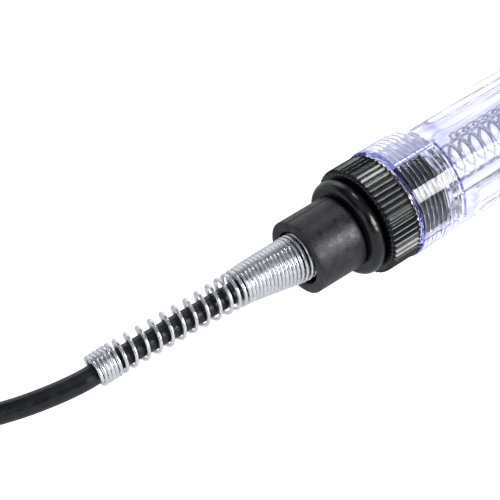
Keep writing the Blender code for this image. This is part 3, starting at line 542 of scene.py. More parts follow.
def make_materials():
    """name: dark and light colour, smoothest and roughest, mottle and grain scale, bump depth."""
    plastics = {
        "black_plastic": ((0.0014, 0.0014, 0.0018), (0.006, 0.006, 0.007), 0.16, 0.28, 500, 5000,
                          0.00002),
        "thread_plastic": ((0.0012, 0.0012, 0.0018), (0.003, 0.003, 0.004), 0.10, 0.18, 400, 4000,
                           0.00001),
        "boot_plastic": ((0.0040, 0.0034, 0.0056), (0.026, 0.022, 0.031), 0.24, 0.52, 620, 3500,
                         0.00008),
        "cord_jacket": ((0.0026, 0.0026, 0.0042), (0.011, 0.011, 0.017), 0.22, 0.42, 520, 2600,
                        0.00006),
        "black_rubber": ((0.010, 0.010, 0.010), (0.022, 0.022, 0.022), 0.55, 0.75, 600, 4000,
                         0.00003),
        "red_vinyl": ((0.40, 0.010, 0.010), (0.58, 0.026, 0.022), 0.28, 0.44, 160, 1800,
                      0.00003),
        "strap_weave": ((0.006, 0.006, 0.007), (0.030, 0.030, 0.033), 0.70, 0.95, 1200, 2600,
                        0.00012),
    }
    metals = {
        "bright_plated_wire": ((0.80, 0.82, 0.85), (0.96, 0.965, 0.97), 0.20, 0.34, 900, 6000,
                               0.00001),
        "spring_steel": ((0.42, 0.43, 0.46), (0.60, 0.61, 0.64), 0.20, 0.34, 900, 6000, 0.00001),
        "nickel_plate": ((0.60, 0.59, 0.56), (0.80, 0.79, 0.76), 0.14, 0.32, 300, 3000,
                         0.00001),
        "tool_steel": ((0.46, 0.46, 0.47), (0.66, 0.66, 0.67), 0.18, 0.36, 500, 5000, 0.00001),
        "brass": ((0.60, 0.43, 0.17), (0.82, 0.64, 0.31), 0.20, 0.38, 400, 3000, 0.00001),
        "copper": ((0.66, 0.30, 0.18), (0.86, 0.46, 0.30), 0.25, 0.45, 700, 4000, 0.00001),
        "tungsten": ((0.25, 0.25, 0.26), (0.45, 0.45, 0.46), 0.30, 0.50, 900, 6000, 0.00001),
    }
    made = {name: finish_from_grain(name, *values) for name, values in plastics.items()}
    for name, values in metals.items():
        made[name] = finish_from_grain(name, *values, Metallic=1.0)
    made["clear_plastic"] = edge_shaded_plastic()
    # painted highlight: pale, partly clear finish for the sheet that paints the threads'
    # refraction glare
    made["glare_sheet_plastic"] = finish_from_grain(
        "glare_sheet_plastic", (0.74, 0.75, 0.93), (0.86, 0.87, 0.98), 0.2, 0.4, 300, 2500, 0.00001,
        Transmission_Weight=0.25, IOR=1.40)
    made["bulb_glass"] = finish_from_grain(
        "bulb_glass", (0.97, 0.98, 0.98), (1, 1, 1), 0.0, 0.02, 60, 300, 0.0000005,
        Transmission_Weight=1.0, IOR=1.45)
    return made


MATERIAL = make_materials()


# ---- the handle ---------------------------------------------------------------------------
def thread_groove(x, a):
    """A narrow groove that advances one pitch for each turn: 1 in it and 0 on the wide lands."""
    phase = (x / THREAD_PITCH - a / TURN) % 1.0
    return smooth_step((1 - np.abs(2 * phase - 1) - 0.62) / 0.30)


def panel_mask(x, a):
    """1 in the shallow recess beside the cap, and 0 outside it."""
    swing = (a + math.pi) % TURN - math.pi
    edge = math.radians(1.4)
    sides = smooth_step((swing - PANEL_FROM) / edge) * smooth_step((PANEL_TO - swing) / edge)
    return sides * smooth_step((PANEL_END - x) / 0.00025)


def handle_radius(x, r, a):
    """The outside: the turned radius, cut by four flats and by the recess beside the cap.

    A flat at distance d from the axis limits the radius to d / cos(angle from its normal), and
    d grows with the distance outside the flat's ends. The bore behind the chamber is threaded.
    """
    outside = r > COUNTERBORE_RADIUS + 0.0004
    beyond = np.maximum(FLAT_START - x, x - FLAT_END)
    distance = FLAT_DISTANCE + FLAT_SLOPE * np.maximum(beyond, 0)
    for k in range(FLAT_COUNT):
        turn = np.cos(a - FLAT_TURN - k * TURN / FLAT_COUNT)
        limit = distance / np.maximum(turn, 0.3)
        r = np.where(outside & (x < BARREL_LENGTH), np.minimum(r, limit), r)
    r = np.where(outside, r - PANEL_DEPTH * panel_mask(x, a), r)
    threaded = ~outside & (x < COUNTERBORE_DEPTH - 0.0004) & (x > 0.0008)
    threaded = threaded & (r > COUNTERBORE_RADIUS - 0.0002)
    return np.where(threaded, r + THREAD_DEPTH * thread_groove(x, a), r)


def add_edge_shade(mesh):
    """Marks where shade is painted on the clear plastic's edges: the lip, the recess's rim and the
    flats' run-outs.

    Each mark is a bell, exp(-(distance / width)^2), and the largest one holds.
    """
    place = np.empty(3 * len(mesh.vertices))
    mesh.vertices.foreach_get("co", place)
    place = place.reshape(-1, 3)
    x = place[:, 0] - CAP_FACE
    a = np.arctan2(place[:, 1], place[:, 2] - AXIS_Z)
    radius = np.hypot(place[:, 1], place[:, 2] - AXIS_Z)

    def bell(distance, width):
        return np.exp(-((distance / width) ** 2))

    outside = smooth_step((radius - COUNTERBORE_RADIUS - 0.0006) / 0.0008)
    lip = bell(x - GAP, 0.0006)
    beside = (a > PANEL_FROM - 0.03) & (a < PANEL_TO + 0.05) & (x < PANEL_END + 0.0006)
    rim = bell(x - PANEL_END, 0.00030)
    for side in (PANEL_FROM, PANEL_TO):
        rim = np.maximum(rim, bell((a - side) * BARREL_RADIUS - 0.00016, 0.00016))
    run_out = 0 * x
    for k in range(FLAT_COUNT):
        across = (a - FLAT_TURN - k * TURN / FLAT_COUNT + math.pi) % TURN - math.pi
        run_out = np.maximum(run_out, bell(x - FLAT_START + 0.0020, 0.0015)
                             * bell(across * BARREL_RADIUS - 0.0014, 0.0024))
    # painted shade mask: the largest edge bell, only on the outside surface
    edge_shade = np.maximum(lip, np.maximum(rim * beside, 0.9 * run_out)) * outside
    mesh.attributes.new("edge_shade", "FLOAT", "POINT").data.foreach_set("value", edge_shade)


def make_handle():
    rear = 0.0003
    front = BARREL_LENGTH + NOSE_LENGTH
    nose = [
        (BARREL_LENGTH, BARREL_RADIUS),
        (BARREL_LENGTH + 0.34 * NOSE_LENGTH, BARREL_RADIUS - 0.0006),
        (BARREL_LENGTH + 0.64 * NOSE_LENGTH, BARREL_RADIUS - 0.0020),
        (BARREL_LENGTH + 0.87 * NOSE_LENGTH, NOSE_RADIUS + 0.0008),
        (front, NOSE_RADIUS),
    ]
    nose_line = eased(nose, 0.004, 8, closed=False)
    coarse = filled([(PANEL_END + 0.0006, BARREL_RADIUS), *nose_line[1:]], 0.0015, closed=False)
    fine_rear = filled([(rear + 0.0005, BARREL_RADIUS), (PANEL_END - 0.0006, BARREL_RADIUS)],
                       0.0012, closed=False)
    edge = filled([(PANEL_END - 0.0005, BARREL_RADIUS), (PANEL_END + 0.0004, BARREL_RADIUS)],
                  0.0001, closed=False)
    lip = eased([(rear, COUNTERBORE_RADIUS + 0.0006), (rear, BARREL_RADIUS),
                 (rear + 0.0010, BARREL_RADIUS)], 0.0004, 4, closed=False)
    inside = eased(
        [
            (front, NOSE_RADIUS - 0.0004), (front, NOSE_BORE), (front - NOSE_WALL, NOSE_BORE),
            (front - NOSE_WALL, CHAMBER_RADIUS), (COUNTERBORE_DEPTH, CHAMBER_RADIUS),
            (COUNTERBORE_DEPTH, COUNTERBORE_RADIUS),
        ],
        0.0005, 3, closed=False,
    )
    thread = filled([(COUNTERBORE_DEPTH - 0.0001, COUNTERBORE_RADIUS),
                     (rear, COUNTERBORE_RADIUS)], 0.00010, closed=False)
    outline = np.vstack([lip[:-1], fine_rear, edge, coarse, inside, thread])
    rims = [side + math.radians(0.7) + np.linspace(-0.020, 0.020, 9)
            for side in (PANEL_FROM, PANEL_TO)]
    angles = np.unique(np.round(np.concatenate([full_turn(256), *rims]) % TURN, 5))
    mesh = skin("handle", around_axis(outline, angles, handle_radius), True, sharp=30)
    add_edge_shade(mesh)
    return piece("handle", "barrel", MATERIAL["clear_plastic"], mesh, ["barrel"])


def make_thread_glare_sheet():
    """A pale sheet painting the threads' refraction glare, everywhere but behind the recess.

    A thin sleeve in the clearance between the two threads, with their own pitch.
    """
    span_round = np.linspace(PANEL_TO + 0.02, PANEL_FROM - 0.02 + TURN, 150)
    x = np.arange(0.0009, COUNTERBORE_DEPTH - 0.0006, 0.0001)
    low = np.stack([x, np.full_like(x, MALE_RADIUS + 0.00010)], axis=1)
    outline = np.vstack([low, low[::-1] + [0, 0.00016]])

    def waved(x, r, a):
        return r + 0.00006 * thread_groove(x, a)

    grid = around_axis(outline, span_round, waved).transpose(1, 0, 2)
    mesh = skin("thread_glare_sheet", grid, ends=True, sharp=60)
    piece("thread_glare_sheet", "barrel", MATERIAL["glare_sheet_plastic"], mesh)


# ---- cap, collar and boot -----------------------------------------------------------------
def knurl_radius(x, r, a):
    """Straight ridges: narrow crests with round grooves between, for n ridges.

    The groove is sqrt(sin(n a / 2)^2 + rounding) - 0.08, where the rounding blunts the crests.
    The grooves run out through the rear face, where they fade within a millimetre.
    """
    groove = np.sqrt(0.5 - 0.5 * np.cos(a * RIDGES) + CREST_ROUNDING) - 0.08
    outer = smooth_step((r - (CAP_RADIUS - RIDGE_FADE)) / 0.0007)
    return r - RIDGE_DEPTH * groove * outer


def male_radius(x, r, a):
    """The cap's own thread, on the sleeve inside the handle."""
    threaded = (r > MALE_RADIUS - 0.0001) & (x > 0.0009) & (x < MALE_LENGTH - 0.0003)
    worn = 0.3 + 0.7 * thread_groove(x, a)
    return np.where(threaded, r - MALE_THREAD_DEPTH * worn, r)


def make_cap():
    ring = [
        (-CAP_LENGTH, NECK_BORE), (-CAP_LENGTH, CAP_RADIUS - CAP_CHAMFER),
        (-CAP_LENGTH + CAP_CHAMFER, CAP_RADIUS), (-0.0006, CAP_RADIUS),
        (0.0, CAP_RADIUS - 0.0005), (0.0, CAP_BORE), (-CAP_LENGTH + CAP_LIP, CAP_BORE),
        (-CAP_LENGTH + CAP_LIP, NECK_BORE),
    ]
    outline = filled(eased(ring, 0.0003, 3), 0.0009)
    mesh = turned("knurled_ring", outline, RIDGES * 10, knurl_radius, sharp=50)
    piece("knurled_ring", "cap_ring", MATERIAL["black_plastic"], mesh,
          ["knurled_cap"])
    sleeve = [
        (0.0002, CAP_BORE + 0.0001), (0.0002, MALE_RADIUS),
        (MALE_LENGTH - 0.0004, MALE_RADIUS), (MALE_LENGTH, MALE_RADIUS - 0.0006),
        (MALE_LENGTH, CAP_BORE + 0.0001),
    ]
    mesh = turned("cap_thread", filled(sleeve, 0.0001), 120, male_radius, sharp=30)
    piece("cap_thread", "cap_ring", MATERIAL["thread_plastic"], mesh)


def make_collar():
    """A half-round bead with flat rear and front faces; a fine mould line crosses its crown."""
    middle = (COLLAR_REAR + COLLAR_FRONT) / 2
    half = (COLLAR_FRONT - COLLAR_REAR) / 2
    a = np.linspace(0, math.pi, 25)
    crown = np.stack([middle - half * np.cos(a),
                      COLLAR_RADIUS - 0.0017 * (1 - np.sin(a) ** 0.8)], axis=1)
    outline = np.vstack([[(COLLAR_REAR, NECK_BORE)], crown, [(COLLAR_FRONT, NECK_BORE)]])

    def nick(x, r, a):
        line = np.exp(-((a - math.radians(310)) / 0.012) ** 2)
        return r - 0.00008 * line * (r > COLLAR_RADIUS - 0.0012)

    mesh = turned("collar_bead", outline, 240, nick, sharp=50)
    piece("collar_bead", "cord_end", MATERIAL["black_plastic"], mesh,
          ["gland_collar"])


def make_boot():
    """Two moulded halves: the same outline, each swept through half a turn and shut."""
    outline = eased(
        [
            (BOOT_MOUTH, BOOT_BORE), (BOOT_MOUTH, BOOT_RADIUS), (BOOT_SHOULDER, BOOT_RADIUS),
            (BOOT_SHOULDER, BOOT_NECK), (FLANGE_REAR, BOOT_NECK), (FLANGE_REAR, FLANGE_RADIUS),
            (FLANGE_FRONT, FLANGE_RADIUS), (FLANGE_FRONT, CORD_BORE), (BOOT_SEAT, CORD_BORE),
            (BOOT_SEAT, BOOT_BORE),
        ],
        0.00018, 3,
    )
    outline = filled(outline, 0.0015)
    for name, start in (("near", math.pi), ("far", 0.0)):
        slack = BOOT_SLACK / BOOT_RADIUS
        first = BOOT_SPLIT + start
        angles = np.linspace(first + slack, first + math.pi - slack, 65)
        grid = around_axis(outline, angles).transpose(1, 0, 2)
        mesh = skin(f"boot_{name}", grid, ends=True, sharp=35)
        piece(f"boot_{name}", "cord_end", MATERIAL["boot_plastic"], mesh,
              [f"boot_half_{name}"])


# ---- cord and its spring ------------------------------------------------------------------
def free_line():
    back, side, height = np.array(CORD_ROUTE).T
    x = CAP_FACE + BOOT_MOUTH - back
    return np.stack([x, side, CORD_RADIUS + (AXIS_Z - CORD_RADIUS) * height], axis=1)


def over_strap(x):
    """The cord's long low hump where a run passes over the strap beneath the hank."""
    return HUMP * (1 - smooth_step((np.abs(x - HANK_X) - TIE_WIDTH / 2) / 0.008))


def hank_line():
    """Six laps of the hank, wound outside, inside, inside, outside, outside, inside.

    Each lap is a run away from the tool on the far side, a flat half circle, a run back on the
    near side, and a half circle that crosses to the next lap. At the crossing, the angle w
    goes from 0 to 90 degrees, and each crossing stands one cord width from the last one in
    the direction that turns with w from beside it to above it, so that none cuts another.
    """
    near, far = HANK_X + HANK_RUN / 2, HANK_X - HANK_RUN / 2
    run = np.linspace(0, 1, 15)[1:-1]
    bend = np.linspace(0, math.pi, 17)
    w = math.pi / 2 * smooth_step(bend / math.pi)
    d = CORD_WIDTH
    crossings = [
        (d * np.cos(w), 0 * w),
        (0 * w, d * np.sin(w)),
        (d * np.sin(w), d * (np.sin(w) + np.cos(w))),
        (d * (np.sin(w) + np.cos(w)), d * (2 * np.sin(w) + np.cos(w))),
        (d * np.cos(w), d * (2 * np.sin(w) + 2 * np.cos(w))),
        (0 * w, d * (3 * np.sin(w) + 2 * np.cos(w))),
    ]
    tracks = [HANK_OUTER, HANK_INNER, HANK_INNER, HANK_OUTER, HANK_OUTER, HANK_INNER]
    parts = []
    for lap, (track, (outward, rise)) in enumerate(zip(tracks, crossings)):
        z = CORD_RADIUS + d * (0, 0, 1, 1, 2, 2)[lap]
        x = near + (far - near) * run
        parts.append(np.stack([x, HANK_SIDE + track + 0 * x, z + over_strap(x)], axis=1))
        parts.append(np.stack([far - track * np.sin(bend), HANK_SIDE + track * np.cos(bend),
                               z + 0 * bend], axis=1))
        x = far + (near - far) * run
        parts.append(np.stack([x, HANK_SIDE - track + 0 * x, z + over_strap(x)], axis=1))
        radius = HANK_INNER + outward
        parts.append(np.stack([near + radius * np.sin(bend), HANK_SIDE - radius * np.cos(bend),
                               CORD_RADIUS + rise], axis=1))
    return np.vstack(parts)


def tail_line():
    back, side, height = np.array(TAIL_ROUTE).T
    z = CLIP_FLOOR + (CLIP_MIDDLE - CLIP_FLOOR) * height
    return np.stack([HANK_X - back, HANK_SIDE + side, z], axis=1)


def make_cord():
    route = np.vstack([free_line(), hank_line(), tail_line()])
    line = smooth_line(route, 0.0012)
    mesh = bar("lead", line, CORD_RADIUS, 20)
    lead = piece("lead", "cord_end", MATERIAL["cord_jacket"], mesh,
                 ["cord", "cord_hank", "cord_tail"])
    return lead, line


def make_relief_spring():
    """Close turns at the small end, open turns, then a close flare seated in the boot.

    The cord hangs a little low in the open turns, so their middle stands off the cord's.
    """
    free = smooth_line(free_line()[::-1], 0.0004)
    lift = CORD_SLACK * smooth_step((CAP_FACE + BOOT_MOUTH + 0.002 - free[:, 0]) / 0.016)
    free[:, 1] += 0.82 * lift
    free[:, 2] += 0.57 * lift
    length = distance_along(free)
    mouth = float(np.interp(CAP_FACE + BOOT_MOUTH, free[:, 0], length))
    start = mouth - RELIEF_CLOSE - RELIEF_OPEN - RELIEF_END
    opens, closes = start + RELIEF_END, start + RELIEF_END + RELIEF_OPEN
    tight = RELIEF_WIRE * 1.07

    def radius_at(at):
        outside = np.interp(
            at,
            [start, closes - 0.012, closes, mouth, mouth + RELIEF_SEAT],
            [RELIEF_RADIUS, RELIEF_RADIUS, RELIEF_FLARE, RELIEF_MOUTH, RELIEF_MOUTH],
        )
        return outside - RELIEF_WIRE / 2

    def pitch_at(at):
        return np.interp(
            at,
            [opens, opens + 0.0045, closes - 0.0070, closes, mouth - 0.003, mouth],
            [tight, RELIEF_PITCH, RELIEF_PITCH, tight, tight, tight * 1.3],
        )

    coil, outward = helix(free, radius_at, pitch_at, start, mouth + RELIEF_SEAT, 28)
    mesh = bar("relief_spring", coil, RELIEF_WIRE / 2, 10, outward, dome=0.0003)
    return piece("relief_spring", "cord_end",
                 MATERIAL["bright_plated_wire"], mesh, ["strain_relief_spring"])


def make_contact_spring():
    """The spring behind the bulb: closed ends and even turns between the two contacts."""
    low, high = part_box("contact_spring")
    axis = np.array([(low[0], 0, AXIS_Z), ((low[0] + high[0]) / 2, 0, AXIS_Z),
                     (high[0] + 0.002, 0, AXIS_Z)])
    length = high[0] - low[0] - CONTACT_WIRE
    closed = CONTACT_WIRE * 1.1

    def pitch_at(at):
        return np.interp(at, [0.0012, 0.003, length - 0.003, length - 0.0012],
                         [closed, CONTACT_PITCH, CONTACT_PITCH, closed])

    coil, outward = helix(axis, lambda at: CONTACT_RADIUS - CONTACT_WIRE / 2 + 0 * at, pitch_at,
                          CONTACT_WIRE / 2, length + CONTACT_WIRE / 2, 36)
    mesh = bar("inner_spring", coil, CONTACT_WIRE / 2, 10, outward, dome=0.0003)
    spring = piece("inner_spring", None, MATERIAL["spring_steel"], mesh,
                   ["contact_spring"])
    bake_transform(spring)


# ---- what is inside the handle ------------------------------------------------------------
def make_contacts():
    """Turned parts between the cord and the bulb."""
    rear, front = span("cord_stop")
    stop = [(rear, CORD_BORE), (rear, CORD_BORE + 0.0019), (front, CORD_BORE + 0.0012),
            (front, CORD_BORE)]
    rear, front = span("contact_carrier")
    carrier = [(rear, 0.0012), (rear, CAP_BORE - GAP), (front, CAP_BORE - GAP), (front, 0.0012)]
    rear, front = span("rear_contact")
    shelf = rear + 0.0012
    bore = CONTACT_RADIUS - CONTACT_WIRE
    button = [(rear, 0.0), (rear, CAP_BORE - 0.0015), (shelf, CAP_BORE - 0.0015),
              (shelf, bore - GAP), (front, bore - 0.0009), (front, 0.0)]
    rear, front = span("spring_seat")
    plate = rear + 0.0024
    seat = [(rear, 0.0), (rear, bore - 0.0009), (plate, bore - GAP), (plate, CAGE_RADIUS),
            (plate + 0.0012, CAGE_RADIUS), (plate + 0.0012, 0.0030), (front, 0.0024),
            (front, 0.0)]
    rear, front = span("bulb_tip")
    tip = [(rear, 0.0), (rear, 0.0010), (rear + 0.0009, 0.0019), (front, 0.0019), (front, 0.0)]
    rear, front = span("bulb_insulator")
    insulator = [(rear, 0.0), (rear, 0.0024), (front, 0.0040), (front, 0.0)]
    rear, front = span("probe_bush")
    bush = [(rear, PROBE_BORE), (rear, NOSE_BORE - GAP), (front, NOSE_BORE - GAP),
            (front, PROBE_BORE)]
    for node, finish, outline in (
        ("cord_stop", "brass", stop), ("contact_carrier", "black_plastic", carrier),
        ("rear_contact", "brass", button), ("spring_seat", "brass", seat),
        ("bulb_tip", "nickel_plate", tip), ("bulb_insulator", "black_plastic", insulator),
        ("probe_bush", "brass", bush),
    ):
        closed = outline[0][1] > 0
        mesh = turned(node, eased(outline, 0.0003, 4, closed), 72)
        stand_in(node, finish, mesh)


def make_bulb():
    """The metal base with its two locating pins, the blown envelope and the coiled filament."""
    rear, front = span("bulb_shell")
    inside = BULB_BASE - 0.0005
    shell = [
        (rear, 0.0), (rear, BULB_BASE - 0.0006), (rear + 0.0006, BULB_BASE),
        (front - 0.0006, BULB_BASE), (front - 0.0006, BULB_FLANGE), (front, BULB_FLANGE),
        (front, inside), (rear + 0.0008, inside), (rear + 0.0008, 0.0),
    ]

    def pins(x, r, a):
        near = np.exp(-(((x - rear - 0.0028) / 0.0005) ** 4))
        round_it = np.exp(-((np.sin(a) * BULB_BASE / 0.0006) ** 4))
        return r + 0.0008 * near * round_it * (r > BULB_BASE - 0.0001) * (r < BULB_BASE + 0.0004)

    mesh = turned("bulb_shell", filled(eased(shell, 0.0002, 3, False), 0.0003, False), 120, pins)
    stand_in("bulb_shell", "brass", mesh)
    neck = inside - GAP
    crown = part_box("bulb_glass")[1][0] - CAP_FACE - BULB_GLASS

    def envelope(shrink):
        swing = np.linspace(-0.75, math.pi / 2, 26)[:, None]
        size = BULB_GLASS - shrink
        dome = np.hstack([crown + size * np.sin(swing), size * np.cos(swing)])
        dome[-1, 1] = 0.00002
        return np.vstack([[(front + 0.0012, neck - shrink)], dome])

    rim = span("bulb_glass")[0]
    outline = np.vstack([[(rim, neck)], envelope(0.0), envelope(GLASS_WALL)[::-1],
                         [(rim, neck - GLASS_WALL)]])
    stand_in("bulb_glass", "bulb_glass", turned("bulb_glass", outline, 96))

    high, spread, steps = crown - 0.0004, 0.0020, 16 * 12
    turn = np.arange(steps + 1) / steps
    coil = np.stack([high + 0.00035 * np.sin(TURN * 16 * turn), spread * (1 - 2 * turn),
                     0.00035 * np.cos(TURN * 16 * turn)], axis=1)
    low = rear + 0.0008 + GAP
    legs = [(low, 0.0010, 0), (front, 0.0010, 0), (high - 0.001, spread, 0)]
    wire = np.vstack([legs, coil, [(x, -y, z) for x, y, z in legs[::-1]]])
    line = smooth_line(wire + [CAP_FACE, 0, AXIS_Z], 0.00009)
    mesh = bar("bulb_filament", line, 0.00012, 6, reference=(0.31, 0.17, 0.93))
    stand_in("bulb_filament", "tungsten", mesh)


def softened(node, width, sharp=35):
    """A welded copy of a CAD node's mesh, for a Bevel modifier to round its edges."""
    mesh = frame["nodes"][node].data.copy()
    mesh.materials.clear()
    work = bmesh.new()
    work.from_mesh(mesh)
    bmesh.ops.remove_doubles(work, verts=work.verts[:], dist=1e-6)
    bmesh.ops.dissolve_limit(work, angle_limit=math.radians(0.5), verts=work.verts[:],
                             edges=work.edges[:])
    work.to_mesh(mesh)
    work.free()
    mesh.shade_smooth()
    mesh.set_sharp_from_angle(angle=math.radians(sharp))

    def round_edges(made):
        edge = made.modifiers.new("rounded_edges", "BEVEL")
        edge.width = width
        edge.segments = 3
        edge.limit_method = "ANGLE"
        edge.angle_limit = math.radians(35)
        return made

    return mesh, round_edges


# ---- nose and probe -----------------------------------------------------------------------
def make_nose():
    rear, front = span("nose_washer")
    washer = [(rear, PROBE_BORE), (rear, NOSE_RADIUS - 0.0002), (front, NOSE_RADIUS - 0.0002),
              (front, PROBE_BORE)]
    stand_in("nose_washer", "black_rubber", turned("nose_washer", eased(washer, 0.0004, 6), 96))

    rear, front = span("nose_ferrule")
    length = front - rear
    waist = rear + 0.47 * length
    ferrule = [
        (rear, PROBE_BORE), (rear, FERRULE_RADIUS), (waist, FERRULE_RADIUS),
        (waist + 0.0003, FERRULE_RADIUS - 0.0009), (rear + 0.90 * length, 0.0048),
        (front, 0.0042), (front, PROBE_BORE),
    ]

    def diamonds(x, r, a):
        """Two crossed sets of grooves, 48 each way, on the ferrule's widest band."""
        band = smooth_step((x - rear - 0.0005) / 0.0003)
        band = band * smooth_step((waist - 0.0005 - x) / 0.0003) * (r > FERRULE_RADIUS - 0.0001)
        slant = (x - rear) / FERRULE_RADIUS
        cut = np.minimum(np.abs(np.sin(24 * (a + slant))), np.abs(np.sin(24 * (a - slant))))
        return r - 0.00024 * band * (1 - smooth_step(cut / 0.55))

    mesh = turned("nose_ferrule", filled(eased(ferrule, 0.0003, 4), 0.00014), 384, diamonds)
    stand_in("nose_ferrule", "nickel_plate", mesh)

    rear, front = span("probe")
    t = np.linspace(0, 1, 34)[:, None]
    taper = PROBE_RADIUS - (PROBE_RADIUS - 0.00025) * (0.25 * t + 0.75 * t**1.5)
    cone = np.hstack([front - PROBE_TAPER + (PROBE_TAPER - 0.0010) * t, taper])
    body = filled([(rear, PROBE_RADIUS), (front - PROBE_TAPER, PROBE_RADIUS)], 0.004, False)
    outline = np.vstack([[(rear, 0.0)], body[:-1], cone, [(front - 0.0003, 0.00016)],
                         [(front, 0.0)]])
    stand_in("probe", "tool_steel", turned("probe", outline, 40))


# ---- strap and clip -----------------------------------------------------------------------
def make_strap():
    """A woven band round the hank: a thin rounded section carried along a rounded rectangle.

    On the near side it runs on over itself, one thickness further out, and ends in a hem.
    """
    low, high = (np.array(corner, float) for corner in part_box("cord_tie"))
    middle = (low + high) / 2
    half_y = (high[1] - low[1]) / 2 - TIE_THICKNESS
    half_z = (high[2] - low[2]) / 2 - TIE_THICKNESS
    corners = [(half_y, half_z), (-half_y, half_z), (-half_y, -half_z), (half_y, -half_z)]
    loop = filled(eased(corners, 0.0030, 12), 0.0012)
    section = eased([(-TIE_WIDTH / 2, 0.0), (TIE_WIDTH / 2, 0.0), (TIE_WIDTH / 2, TIE_THICKNESS),
                     (-TIE_WIDTH / 2, TIE_THICKNESS)], 0.00022, 4)

    def band(line, wrap):
        ahead = np.roll(line, -1, axis=0) - np.roll(line, 1, axis=0)
        if not wrap:
            ahead = np.gradient(line, axis=0)
        ahead /= np.linalg.norm(ahead, axis=1)[:, None]
        out = np.stack([ahead[:, 1], -ahead[:, 0]], axis=1)
        across = np.broadcast_to(section[None, :, 0], (len(line), len(section)))
        away = section[None, :, 1, None] * out[:, None]
        places = line[:, None] + away
        return np.stack([middle[0] + across, middle[1] + places[..., 0],
                         middle[2] + places[..., 1]], axis=-1)

    mesh = skin("strap", band(loop, True), wrap_rows=True, sharp=50)
    stand_in("cord_tie", "strap_weave", mesh)
    flap = filled([(-half_y - TIE_THICKNESS - 0.00005, 0.62 * half_z),
                   (-half_y - TIE_THICKNESS - 0.00005, -0.55 * half_z)], 0.0010, closed=False)
    mesh = skin("strap_flap", band(flap, False), ends=True, sharp=50)
    return piece("strap_flap", "cord_end", MATERIAL["strap_weave"], mesh)


def toothed(mesh, side):
    """Cuts a jaw across in even steps and moves its meeting edge in and out: saw teeth."""
    work = bmesh.new()
    work.from_mesh(mesh)
    first, last = CLIP_X - 0.0460, CLIP_X - 0.0290
    marks = np.linspace(first, last, 2 * TEETH + 1)
    for mark in marks:
        bmesh.ops.bisect_plane(work, geom=work.verts[:] + work.edges[:] + work.faces[:],
                               plane_co=(mark, 0, 0), plane_no=(1, 0, 0))
    for vertex in work.verts:
        at = (vertex.co.x - first) / (last - first) * 2 * TEETH
        if abs(vertex.co.y - side) < 0.0002 and -0.1 < at < 2 * TEETH + 0.1:
            vertex.co.y += TOOTH * (round(at) % 2)
    work.to_mesh(mesh)
    work.free()
    return mesh


def make_clip():
    """Pressed jaws with teeth, dipped grips, the riveted pin and the crimp band.

    The bulb's cage has its edges rounded in the same way, but it isn't on the cord.
    """
    pieces = []
    for node, width, finish in (
        ("clip_fixed_jaw", 0.00014, "nickel_plate"), ("clip_moving_jaw", 0.00012, "nickel_plate"),
        ("clip_fixed_grip", 0.00055, "red_vinyl"), ("clip_moving_grip", 0.00050, "red_vinyl"),
        ("clip_pin", 0.00025, "tool_steel"), ("clip_crimp", 0.00015, "brass"),
        ("bulb_cage", 0.00016, "nickel_plate"),
    ):
        mesh, round_edges = softened(node, width)
        if node == "clip_fixed_jaw":
            toothed(mesh, HANK_SIDE)
        if node == "clip_moving_jaw":
            toothed(mesh, HANK_SIDE + GAP)
        made = round_edges(stand_in(node, finish, mesh))
        if node != "bulb_cage":
            pieces.append(made)
    return pieces


def make_clip_spring():
    """Three and a half turns round the pin, with a leg under each handle."""
    pivot = np.array([CLIP_X + CLIP_PIVOT[0], HANK_SIDE + CLIP_PIVOT[1], CLIP_MIDDLE])
    k = np.linspace(0, 1, 85)
    angle = -math.pi / 2 + TURN * CLIP_SPRING_TURNS * k
    half = SPRING_HALF
    winding = CLIP_PIN + GAP + CLIP_SPRING_WIRE / 2 + 0.0002
    coil = np.stack([winding * np.cos(angle), winding * np.sin(angle), half * (2 * k - 1)],
                    axis=1)
    wire = np.vstack([[(0.0110, -0.0026, -half), (0.0055, -0.0022, -half)], coil,
                      [(0.0052, 0.0028, half), (0.0105, 0.0042, half)]])
    line = smooth_line(wire + pivot, CLIP_SPRING_WIRE / 2)
    mesh = bar("clip_spring", line, CLIP_SPRING_WIRE / 2, 10, dome=0.0002)
    spring = piece("clip_spring_skin", None,
                   MATERIAL["bright_plated_wire"], mesh, ["clip_spring"])
    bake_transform(spring)
    return spring


# ---- stage --------------------------------------------------------------------------------
def make_stage():
    """A plain white floor that glows, as a light table does, seen directly or through glass."""
    floor = bpy.data.meshes.new("floor")
    reach = 3.0
    floor.from_pydata([(-reach, -reach, 0), (reach, -reach, 0), (reach, reach, 0),
                       (-reach, reach, 0)], [], [(0, 1, 2, 3)])
    plane = linked("floor", floor)
    plane.location.z = -0.0002
    white = bpy.data.materials.new("paper")
    white.use_nodes = True
    tree = white.node_tree
    shader = tree.nodes["Principled BSDF"]
    for label, value in (("Base Color", (0.92, 0.92, 0.92, 1)), ("Roughness", 0.9),
                         ("Specular IOR Level", 0.0), ("Emission Color", (1, 1, 1, 1))):
        shader.inputs[label].default_value = value
    path = tree.nodes.new("ShaderNodeLightPath")
    through = tree.nodes.new("ShaderNodeMath")
    through.operation = "MULTIPLY_ADD"
    through.inputs[1].default_value = 0.58
    tree.links.new(path.outputs["Is Transmission Ray"], through.inputs[0])
    tree.links.new(path.outputs["Is Camera Ray"], through.inputs[2])
    tree.links.new(through.outputs["Value"], shader.inputs["Emission Strength"])
    floor.materials.append(white)


